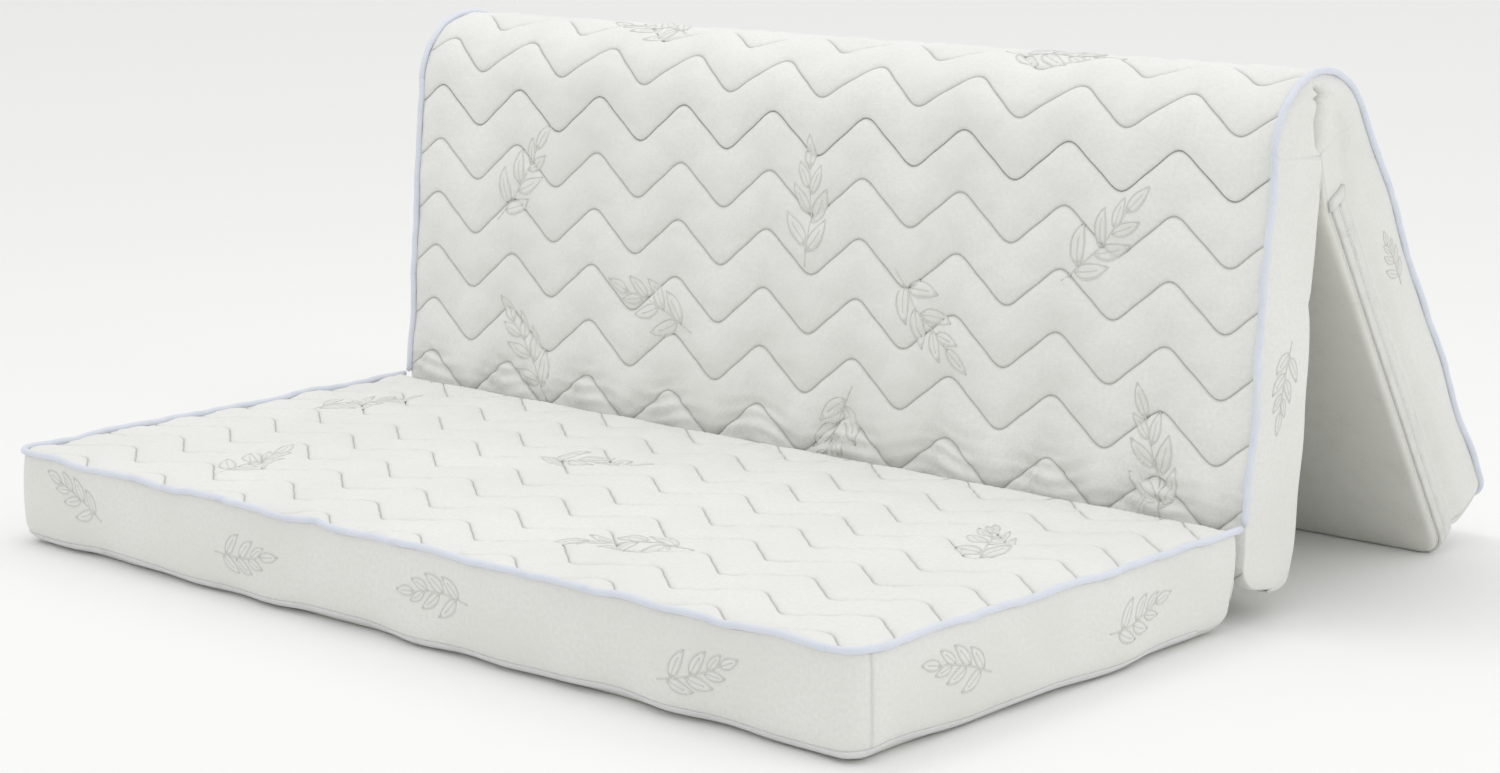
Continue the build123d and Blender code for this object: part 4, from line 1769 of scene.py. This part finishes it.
@dataclass
class FoldCap:
    """Gathered cloth that closes one end of the top fold."""

    sign: int
    crease: float = 0.017
    eye: float = 0.0725          # distance from the hinge line of the small gap that the gathers leave
    lap: float = 0.045           # how far it laps under the bands beside it, as a share of its turn

    def build(self, name: str) -> bpy.types.Object:
        """Makes the cap, its crease where the two sections press together, and its gathers."""
        lay = MATTRESS.lay
        spread = np.linspace(-1, 1, 81)
        past = np.array([0.25, 0.5, 0.75, 1.0]) * self.lap
        turn = np.concatenate([-past[::-1], 0.5 + 0.5 * np.sign(spread) * np.abs(spread) ** 1.7, 1 + past])
        within = np.clip(turn, 0, 1)
        reach = np.concatenate([np.linspace(0.02, 0.6, 14), np.linspace(0.63, 0.9, 24), np.linspace(0.92, 1.0, 5)])
        s = lay.back_len + turn * (lay.rear_zero - lay.back_len)
        x = np.full_like(s, self.sign * lay.half)
        lift = MATTRESS.back.rim_up.at(x, s) - MATTRESS.back.seam_drop
        rim = lay.quilt.at(s, lift)
        yz = lay.ridge + (rim - lay.ridge)[:, None, :] * reach[None, :, None]
        ends = []
        for section, distance in ((MATTRESS.back, lay.back_len), (MATTRESS.rear, lay.rear_zero)):
            row = np.array([[self.sign * lay.half, distance, self.sign, 0.0]])
            ends.append(np.abs(section.wall(row, 1 - reach)[0, :, 0]))
        flat = ends[0][None] * (1 - within)[:, None] + ends[1][None] * within[:, None]
        flat = flat + 0.0002 - 0.0008 * smooth(np.abs(turn - within) / self.lap)[:, None]
        r = reach[None] * lay.depth
        bend = (turn - 0.5)[:, None] * math.radians(lay.fold_turn)
        wander = 0.0022 * np.sin(r / 0.015)
        across = r * np.sin(bend) + wander
        inside = smooth(1 - (r - self.eye + 0.006) / 0.012)
        crease = self.crease * np.exp(-np.abs(across) / 0.0042) * inside * smooth(r / 0.02)
        up = r * np.cos(bend) - self.eye
        eye = 0.034 * np.exp(-((across / 0.0034) ** 2) - (up / 0.0064) ** 2)
        away = np.hypot(across, up)
        around = np.arctan2(across, up)
        edge = np.sin(math.pi * within)[:, None] * smooth((1 - reach) / 0.15)[None]
        gathers = 0.0036 * np.sin(around * 5 + 0.8) * np.exp(-away / 0.022) * smooth(away / 0.008) * edge
        puff = 0.004 * smooth(np.abs(across) / 0.02) * edge
        out = flat - crease - eye + gathers + puff
        points = np.concatenate([(self.sign * out + lay.middle)[..., None], yz], -1)
        uv = np.stack(np.broadcast_arrays(across, r * np.cos(bend)), -1)
        obj = sheet_mesh(name, points, uv, 0.0018, self.sign < 0)
        sector = lay.depth**2 / 2 * math.radians(lay.fold_turn) * (1 + 2 * self.lap)
        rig.sheet(obj, flat=(lay.depth, 2 * lay.depth), held="gathered", area=sector,
                 rests_on=["back_foam_core", "rear_foam_core"])
        return dress(obj, MATERIALS["band"], "band_cloth")


@dataclass
class Sprig:
    """A woven-in spray of leaves, drawn as thin relief on a face of the cover."""

    length: float = 0.12
    ribbon: float = 0.0014

    def blades(self) -> list[tuple[np.ndarray, bool]]:
        """Grids of (a, b) points: leaf blades (True) and the lines round them (False)."""
        made = []
        stem_t = np.linspace(0, 1, 16)
        stem = np.stack([0.10 * np.sin(stem_t * 2.2), stem_t - 0.5], -1) * self.length
        made.append((self.band_of(stem), False))
        leaves = ((0.16, 52, 0.40), (0.22, -50, 0.42), (0.44, 46, 0.40), (0.52, -44, 0.38), (0.72, 36, 0.32),
                  (0.78, -34, 0.30), (0.97, 2, 0.34))
        for at, lean, size in leaves:
            root = np.array([np.interp(at, stem_t, stem[:, 0]), np.interp(at, stem_t, stem[:, 1])])
            along = np.linspace(0, 1, 11)
            width = 0.19 * size * np.sin(math.pi * along**0.8) ** 0.9
            bend = math.radians(lean)
            line = np.stack([np.sin(bend * (1 - 0.25 * along)) * along, np.cos(bend * (1 - 0.25 * along)) * along], -1)
            line = root + line * size * self.length
            side = np.gradient(line, axis=0)
            side /= np.linalg.norm(side, axis=1)[:, None]
            side = np.stack([side[:, 1], -side[:, 0]], -1)
            span = np.linspace(-1, 1, 5)
            grid = line[:, None] + side[:, None] * (width * self.length)[:, None, None] * span[None, :, None]
            made.append((grid[1:-1], True))
            for edge in (-1, 1):
                made.append((self.band_of(line + side * (width * self.length)[:, None] * edge), False))
            made.append((self.band_of(line[:8]), False))
        return made

    def band_of(self, line: np.ndarray) -> np.ndarray:
        """Widens a line to a narrow ribbon."""
        side = np.gradient(line, axis=0)
        side /= np.maximum(np.linalg.norm(side, axis=1), 1e-9)[:, None]
        side = np.stack([side[:, 1], -side[:, 0]], -1) * self.ribbon / 2
        return np.stack([line - side, line + side], 1)


class SprigSet:
    """All the sprigs on one piece."""

    def __init__(self, name: str) -> None:
        """Starts an empty set."""
        self.name = name
        self.verts: list[np.ndarray] = []
        self.faces: list[list[int]] = []
        self.kinds: list[int] = []

    def add(self, surface, centre: tuple[float, float], lean: float, length: float) -> None:
        """Adds one sprig.

        Args:
            surface: Turns arrays (a, b, lift) of face coordinates into points of the row frame.
            centre: Face coordinates of its middle.
            lean: Degrees that it is turned.
            length: Its stem's length.
        """
        c, n = math.cos(math.radians(lean)), math.sin(math.radians(lean))
        for grid, blade in Sprig(length).blades():
            rows, columns = grid.shape[:2]
            flat = grid.reshape(-1, 2)
            a = centre[0] + flat[:, 0] * c - flat[:, 1] * n
            b = centre[1] + flat[:, 0] * n + flat[:, 1] * c
            lift = 0.00035 if blade else 0.0006
            start = sum(len(v) for v in self.verts)
            self.verts.append(surface(a, b, lift))
            quads = grid_faces(rows, columns) + start
            self.faces += quads.tolist()
            self.kinds += [0 if blade else 1] * len(quads)

    def build(self, bodies: tuple[str, ...], outward, **blend) -> bpy.types.Object:
        """Makes the relief, thick enough to be solid."""
        obj = make_mesh(self.name, np.vstack(self.verts), self.faces)
        mesh = obj.data
        first = mesh.polygons[0]
        if first.normal.dot(Vector(outward(np.array(first.center)))) < 0:
            mesh.flip_normals()
        mesh.materials.append(MATERIALS["sprig"])
        mesh.materials.append(MATERIALS["sprig_line"])
        mesh.polygons.foreach_set("material_index", self.kinds)
        thicken(obj, 0.0009)
        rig.slot(obj, "ticking")
        LOG.info("%s: %d faces", obj.name, len(obj.data.polygons))
        if len(bodies) == 1:
            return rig.ride(obj, bodies[0])
        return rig.blend(obj, *bodies, **blend)


@dataclass
class ZipTeeth:
    """The coil of the zip, a tooth on each point of its line, made with Geometry Nodes."""

    pitch: float = 0.0030       # the real coil turns about every 1.5 mm; drawn coarser so that it shows
    radius: float = 0.0011
    width: float = 0.0058

    def tree(self, finish: bpy.types.Material) -> bpy.types.NodeTree:
        """Builds the node tree."""
        tree = bpy.data.node_groups.new("zip_teeth", "GeometryNodeTree")
        face = tree.interface
        face.new_socket("Line", in_out="INPUT", socket_type="NodeSocketGeometry")
        for name, value in (("Pitch", self.pitch), ("Tooth radius", self.radius), ("Tooth width", self.width)):
            face.new_socket(name, in_out="INPUT", socket_type="NodeSocketFloat").default_value = value
        face.new_socket("Teeth", in_out="OUTPUT", socket_type="NodeSocketGeometry")
        given = add_node(tree, "NodeGroupInput")
        curve = add_node(tree, "GeometryNodeMeshToCurve", {0: given.outputs["Line"]})
        points = add_node(
            tree, "GeometryNodeResampleCurve",
            {"Curve": curve.outputs[0], "Length": given.outputs["Pitch"]}, mode="LENGTH",
        )
        outward = add_node(tree, "GeometryNodeInputNamedAttribute", {"Name": "outward"}, data_type="FLOAT_VECTOR")
        tangent = add_node(tree, "GeometryNodeInputTangent")
        facing = add_node(tree, "FunctionNodeAlignRotationToVector", {"Vector": tangent.outputs[0]}, axis="X")
        facing = add_node(
            tree, "FunctionNodeAlignRotationToVector",
            {"Rotation": facing.outputs[0], "Vector": outward.outputs[0]}, axis="Y", pivot_axis="X",
        )
        tooth = add_node(
            tree, "GeometryNodeMeshCylinder",
            {"Vertices": 8, "Side Segments": 1, "Radius": given.outputs["Tooth radius"],
             "Depth": given.outputs["Tooth width"]},
            fill_type="TRIANGLE_FAN",
        )
        placed = add_node(
            tree, "GeometryNodeInstanceOnPoints",
            {"Points": points.outputs[0], "Instance": tooth.outputs[0], "Rotation": facing.outputs[0]},
        )
        real = add_node(tree, "GeometryNodeRealizeInstances", {0: placed.outputs[0]})
        dressed = add_node(tree, "GeometryNodeSetMaterial", {"Geometry": real.outputs[0], "Material": finish})
        add_node(tree, "NodeGroupOutput", {0: dressed.outputs[0]})
        return tree

    def build(self, name: str, line: np.ndarray, outward: np.ndarray) -> bpy.types.Object:
        """Makes the teeth along a line, each lying across it."""
        mesh = bpy.data.meshes.new(name)
        mesh.from_pydata(line.tolist(), [(k, k + 1) for k in range(len(line) - 1)], [])
        mesh.attributes.new("outward", "FLOAT_VECTOR", "POINT").data.foreach_set("vector", outward.ravel())
        obj = bpy.data.objects.new(name, mesh)
        bpy.context.scene.collection.objects.link(obj)
        grow = obj.modifiers.new("teeth", "NODES")
        grow.node_group = self.tree(MATERIALS["zip_coil"])
        bake_modifiers(obj)
        return obj


MATERIALS: dict[str, bpy.types.Material] = {}
MATTRESS = Mattress()


# ---- studio ----
@dataclass
class Studio:
    """Pale floor, soft lights and the camera."""

    place: tuple[float, float, float] = (2.5809, -2.7670, 0.9595)
    azimuth: float = 42.825
    elevation: float = 11.43
    roll: float = -0.658
    lens: float = 75.3

    def camera(self) -> None:
        """Sets the camera."""
        data = bpy.data.cameras.new("camera")
        data.lens = self.lens
        data.sensor_width = 36.0
        data.clip_end = 60
        obj = bpy.data.objects.new("camera", data)
        bpy.context.scene.collection.objects.link(obj)
        a, e, c = (math.radians(v) for v in (self.azimuth, self.elevation, self.roll))
        forward = Vector((-math.sin(a) * math.cos(e), math.cos(a) * math.cos(e), -math.sin(e)))
        right = forward.cross(Vector((0, 0, 1))).normalized()
        up = right.cross(forward)
        right, up = right * math.cos(c) + up * math.sin(c), up * math.cos(c) - right * math.sin(c)
        turn = Matrix((right, up, -forward)).transposed()
        obj.matrix_world = Matrix.Translation(self.place) @ turn.to_4x4()
        bpy.context.scene.camera = obj

    def light(self, name: str, place: tuple, size: float, power: float) -> None:
        """Adds a square soft light aimed at the middle of the mattress."""
        data = bpy.data.lights.new(name, "AREA")
        data.shape = "SQUARE"
        data.size = size
        data.energy = power
        obj = bpy.data.objects.new(name, data)
        bpy.context.scene.collection.objects.link(obj)
        obj.location = place
        obj.rotation_euler = (Vector((0, 0, 0.2)) - Vector(place)).to_track_quat("-Z", "Y").to_euler()

    def floor(self) -> None:
        """Lays the floor and sets the surroundings."""
        size = 14.0
        corners = np.array([(-size, -size, 0), (size, -size, 0), (size, size, 0), (-size, size, 0)]) - (0, 0, 0.0004)
        obj = make_mesh("studio_floor", corners, [[0, 1, 2, 3]])
        material = bpy.data.materials.new("matt_studio_floor")
        material.use_nodes = True
        shader = material.node_tree.nodes["Principled BSDF"]
        shader.inputs["Base Color"].default_value = linear("F4F4F3")
        shader.inputs["Roughness"].default_value = 0.9
        obj.data.materials.append(material)
        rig.stage(obj)
        world = bpy.data.worlds.new("studio")
        world.use_nodes = True
        sky = world.node_tree.nodes["Background"]
        sky.inputs["Color"].default_value = (1, 1, 1, 1)
        sky.inputs["Strength"].default_value = 0.86
        bpy.context.scene.world = world

    def build(self) -> None:
        """Sets up everything."""
        self.camera()
        self.floor()
        self.light("overhead_bank", (0.0, 1.0, 9.0), 16.0, 130)
        self.light("top_softbox", (-0.3, -0.3, 2.8), 1.1, 10)
        self.light("right_softbox", (3.2, 0.6, 1.8), 2.0, 9)
        bpy.context.scene.view_settings.view_transform = "Standard"


@dataclass
class SeatCover:
    """Everything sewn round the seat's foam."""

    panel: QuiltPanel
    first_row: float = 0.094
    phase: float = 0.003
    rows: tuple[int, int] = (-2, 9)
    sprigs: tuple = ((-0.42, 0.14, 20), (-0.12, 0.42, -65), (0.24, 0.16, 120), (0.52, 0.40, 35), (-0.60, 0.46, -20))
    border_sprigs: tuple = ((-0.56, 0.55, 70, 0.088), (-0.25, 0.50, -80, 0.088), (0.10, 0.52, 95, 0.088),
                            (0.47, 0.48, -66, 0.088))

    def build(self) -> None:
        """Makes the pieces."""
        lay = MATTRESS.lay
        section = MATTRESS.seat
        cover = QuiltCover("seat_quilt", self.panel, section, self.first_row, self.phase, self.rows,
                           (0.0, lay.seat_top.end), 5, True)
        finish_quilt(cover, ("seat",), self.sprigs, "seat_ticking", "seat_wadding")
        edge = Borders(section)
        rim = section.rim()
        cord = rim[rim[:, 1] < lay.seat_flat + 0.004]
        edge.piping("seat_piping_cord", cord, "seat_piping", tail=0.019)
        start = int(np.flatnonzero(rim[:, 0] > -section.half + 0.004)[0])
        stop = int(np.flatnonzero(rim[:, 0] > section.half - 0.004)[0])
        edge.band("seat_left_border", rim[: start + 1], "seat_left_band")
        edge.band("seat_front_border", rim[start : stop + 1], "seat_front_band")
        edge.band("seat_right_border", rim[stop:], "seat_right_band")
        edge.underside("seat_base_cloth", "seat_underside")
        taped = rim[rim[:, 1] < lay.seat_len - 0.06]
        edge.tape("seat_seam_tape", taped, 0.0045, 0.0145, 0.0012, "binding", "binding", "seat_bottom_binding")
        border_sprigs("seat_front_border_sprigs", section, Face.END, self.border_sprigs)
        border_sprigs("seat_right_border_sprigs", section, Face.RIGHT, ((0.16, 0.5, 80, 0.088), (0.44, 0.52, -76, 0.088)))
        border_sprigs("seat_left_border_sprigs", section, Face.LEFT, ((0.20, 0.5, 74, 0.088), (0.46, 0.5, -78, 0.088)))


@dataclass
class BackCover:
    """Everything sewn round the back's foam."""

    panel: QuiltPanel
    first_row: float = 0.0905
    phase: float = -0.044
    rows: tuple[int, int] = (-2, 5)
    cord_from: float = 0.073      # the cord starts where the seat's top meets the back
    sprigs: tuple = ((0.02, 0.36, 5), (0.46, 0.37, -40), (-0.22, 0.21, 75), (0.22, 0.27, -130), (-0.50, 0.36, -30),
                     (0.10, 0.10, 165), (-0.46, 0.12, 40), (0.56, 0.12, 20))

    def build(self) -> None:
        """Makes the pieces."""
        lay = MATTRESS.lay
        section = MATTRESS.back
        cover = QuiltCover("back_quilt", self.panel, section, self.first_row, self.phase, self.rows,
                           (lay.quilt.distance[0], lay.quilt.end + 1))
        finish_quilt(cover, ("back",), self.sprigs, "back_ticking", "back_wadding")
        edge = Borders(section)
        for sign, word in ((-1, "left"), (1, "right")):
            side = section.side(sign)
            edge.piping(f"back_{word}_cord", side[side[:, 1] > self.cord_from], f"back_{word}_piping")
            edge.band(f"back_{word}_border", side, f"back_{word}_band")
        edge.underside("back_base_cloth", "back_underside")
        border_sprigs("back_right_border_sprigs", section, Face.RIGHT, ((0.24, 0.5, 84, 0.08),))
        border_sprigs("back_left_border_sprigs", section, Face.LEFT, ((0.28, 0.5, -86, 0.08),))


@dataclass
class TopFold:
    """The cloth that crosses from the back to the rear section."""

    panel: QuiltPanel
    first_row: float = 0.0905
    phase: float = -0.044
    rows: tuple[int, int] = (5, 10)
    sprigs: tuple = ((-0.30, 0.60, 85), (0.33, 0.62, -80))
    spare: float = 0.015          # how far past the fold's feet the cloth still gives

    def build(self) -> None:
        """Makes the pieces."""
        lay = MATTRESS.lay
        foot, outer = lay.quilt.at(np.array([lay.back_len, lay.rear_zero]))
        reach = (outer - foot) / np.linalg.norm(outer - foot) * self.spare
        across = {"start": (lay.middle, *(foot - reach)), "end": (lay.middle, *(outer + reach))}
        cover = QuiltCover("fold_quilt", self.panel, MATTRESS.back, self.first_row, self.phase, self.rows,
                           (0.0, lay.quilt.end + 1))
        finish_quilt(cover, ("back", "rear"), self.sprigs, "mountain_fold_ticking", "mountain_fold_wadding", **across)
        edge = Borders(MATTRESS.back)
        for sign, word in ((-1, "left"), (1, "right")):
            s = np.linspace(lay.back_len - 0.002, lay.rear_zero + 0.002, 48)
            one = np.ones_like(s)
            rim = np.stack([sign * lay.half * one, s, sign * one, 0 * one], -1)
            cord = tube(f"fold_{word}_cord", edge.piping_path(rim), Borders.CORD)
            dress(cord, MATERIALS["piping"], "piping", "mountain_fold_piping")
            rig.blend(cord, "back", "rear", **across)
            cap = FoldCap(sign).build(f"fold_{word}_gathers")
            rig.blend(cap, "back", "rear", **across)


@dataclass
class RearCover:
    """Everything sewn round the rear section's foam, with its zip."""

    panel: QuiltPanel
    first_row: float = 0.0905
    phase: float = -0.044
    rows: tuple[int, int] = (10, 18)
    sprigs: tuple = ((-0.40, 0.92, 25), (0.05, 1.02, -70), (0.46, 0.90, 130), (-0.18, 1.18, 10), (0.36, 1.17, -35))

    def build(self) -> None:
        """Makes the pieces."""
        lay = MATTRESS.lay
        section = MATTRESS.rear
        cover = QuiltCover("rear_quilt", self.panel, section, self.first_row, self.phase, self.rows,
                           (0.0, lay.quilt.end))
        finish_quilt(cover, ("rear",), self.sprigs, "rear_ticking", "rear_wadding")
        edge = Borders(section)
        rim = section.rim()
        edge.piping("rear_piping_cord", rim, "rear_piping")
        start = int(np.flatnonzero(rim[:, 0] > -section.half + 0.004)[0])
        stop = int(np.flatnonzero(rim[:, 0] > section.half - 0.004)[0])
        edge.band("rear_left_border", rim[: start + 1], "rear_left_band")
        edge.band("rear_end_border", rim[start : stop + 1], "rear_end_band")
        edge.band("rear_right_border", rim[stop:], "rear_right_band")
        edge.underside("rear_base_cloth", "rear_underside")
        border_sprigs("rear_right_border_sprigs", section, Face.RIGHT, ((0.93, 0.70, 97, 0.06),))
        border_sprigs("rear_left_border_sprigs", section, Face.LEFT, ((1.02, 0.70, -95, 0.06),))
        self.zip(edge, rim)

    def zip(self, edge: Borders, rim: np.ndarray) -> None:
        """Makes the zip's tapes, its coil and the cloth tabs at the tapes' start."""
        section = edge.section
        lay = MATTRESS.lay
        begin = lay.rear_zero + 0.070
        zipped = rim[rim[:, 1] > begin - 0.004]
        zipped[[0, -1], 1] = begin
        edge.tape("rear_zip_tape_low", zipped, 0.009, 0.0215, 0.0036, "zip_tape", "zip_tape", "rear_zip_tape")
        edge.tape("rear_zip_tape_high", zipped, 0.0245, 0.037, 0.0036, "zip_tape", "zip_tape", "rear_zip_tape")
        for sign, word in ((-1, "left"), (1, "right")):
            s = np.linspace(begin - 0.011, begin + 0.003, 6)
            one = np.ones_like(s)
            patch = np.stack([sign * section.half * one, s, sign * one, 0 * one], -1)
            edge.tape(f"rear_zip_{word}_tab", patch, 0.006, 0.040, 0.0044, "zip_tape", "band_cloth")
        coil_rim = rim[rim[:, 1] > begin + 0.006]
        coil = section.strip(coil_rim, np.array([0.023]), np.array([0.0034]))[:, 0]
        coil[:, 0] += section.middle
        teeth = ZipTeeth().build("rear_zip_teeth", coil, section.outward(coil_rim))
        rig.slot(teeth, "zip_coil")
        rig.replaces(teeth, "rear_zip_coil")
        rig.ride(teeth, "rear")
        LOG.info("%s: %d faces", teeth.name, len(teeth.data.polygons))


def finish_quilt(cover: QuiltCover, bodies: tuple[str, ...], sprigs: tuple, *nodes: str, **across) -> None:
    """Builds a quilted pad with its stitching and sprigs, and lets them ride.

    Args:
        cover: The pad.
        bodies: One body, or the two that it crosses.
        sprigs: Rows of (x, distance, lean) for the woven-in sprigs.
        *nodes: CAD nodes that the pad stands for.
        **across: start and end of a pad that crosses a joint.
    """
    pad = dress(cover.build(), MATERIALS["ticking"], "ticking", *nodes)
    thread = cover.stitching(cover.name + "_stitches", MATERIALS["thread"])
    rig.slot(thread, "ticking")
    LOG.info("%s: %d faces", thread.name, len(thread.data.polygons))
    for piece in (pad, thread):
        if len(bodies) == 1:
            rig.ride(piece, bodies[0])
        else:
            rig.blend(piece, *bodies, **across)
    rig.padded(pad, fill=0.6)

    def surface(a: np.ndarray, b: np.ndarray, lift: float) -> np.ndarray:
        return cover.place(a, b, cover.lift_at(a, b) + lift)

    def outward(point: np.ndarray) -> np.ndarray:
        s = np.array([sprigs[0][1]])
        along = cover.section.top.along(s)[0]
        return np.array([0.0, -along[1], along[0]])

    drawn = SprigSet(cover.name + "_sprigs")
    for x, s, lean in sprigs:
        drawn.add(surface, (x, s), lean, 0.125)
    drawn.build(bodies, outward, **across)


def border_sprigs(name: str, section: Section, face: Face, sprigs: tuple) -> None:
    """Draws sprigs on one band.

    Args:
        name: The piece's name.
        section: The section whose band it is.
        face: Which band.
        sprigs: Rows of (distance along the band, share of its height, lean, length).
    """
    tall = 0.102

    def surface(a: np.ndarray, b: np.ndarray, lift: float) -> np.ndarray:
        share = np.clip(1 - b / tall, 0.02, 0.98)[:, None]
        one = np.ones_like(a)
        if face is Face.END:
            rim = np.stack([a, section.free * one, 0 * one, section.free_sign * one], -1)
        else:
            rim = np.stack([face.value * section.half * one, a, face.value * one, 0 * one], -1)
        points = section.wall(rim, share)[:, 0] + section.outward(rim) * lift
        points[:, 0] += section.middle
        return points

    def outward(point: np.ndarray) -> np.ndarray:
        if face is Face.END:
            along = section.top.along(np.array([section.free]))[0]
            return np.array([0.0, *(along * section.free_sign)])
        return np.array([float(face.value), 0.0, 0.0])

    drawn = SprigSet(name)
    for at, share, lean, length in sprigs:
        drawn.add(surface, (at, share * tall), lean, length)
    drawn.build((section.part.value,), outward)


@dataclass
class Crease:
    """Cloth tucked into the crease between seat and back."""

    thick: float = 0.0008
    clear: float = 0.0003

    def build(self) -> None:
        """Makes the tucked strip, gathered along its length, on the seat's fold end."""
        low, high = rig.box("valley_fold_web")
        x = np.linspace(low.x, high.x, 260)
        z = np.linspace(low.z, high.z, 9)
        grid_x, grid_z = np.meshgrid(x, z, indexing="ij")
        ripple = 0.0003 * np.sin(grid_x * 210 + 2 * np.sin(grid_x * 17)) * np.sin(grid_z * 90)
        face = MATTRESS.lay.front + MATTRESS.lay.seat_len + self.clear + self.thick
        points = np.stack([grid_x, face + ripple, grid_z], -1)
        obj = sheet_mesh("crease_web", points, np.stack([grid_x, grid_z], -1), self.thick, False)
        dress(obj, MATERIALS["base"], "underside_cloth", "valley_fold_web")
        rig.sheet(obj, flat=(high.z - low.z, high.x - low.x), held="gathered", rests_on=["seat_foam_core"])
        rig.ride(obj, "seat")


def carry_over() -> None:
    """Gives the CAD shapes that stay their finishes."""
    for name, key in (
        ("seat_foam_core", "foam"), ("back_foam_core", "foam"), ("rear_foam_core", "foam"),
        ("rear_zip_stop", "zip_metal"), ("zip_slider", "zip_metal"), ("zip_pull", "zip_metal"),
    ):
        node = frame["nodes"][name]
        node.data.materials.clear()
        node.data.materials.append(MATERIALS[key])


def main() -> None:
    """Builds every piece in order and writes both boxes."""
    for key, finish in FINISHES.items():
        MATERIALS[key] = finish.build()
    panel = QuiltPanel()
    for part in (SeatCover(panel), BackCover(panel), TopFold(panel), RearCover(panel), Crease(), Studio()):
        part.build()
    carry_over()
    bpy.context.view_layer.update()
    low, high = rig.bounds()
    with open(SIZE_FILE, "w") as out:
        json.dump({"cad": [list(CAD_BOX[0]), list(CAD_BOX[1])], "visual": [list(low), list(high)]}, out)


if __name__ == "__main__":
    main()
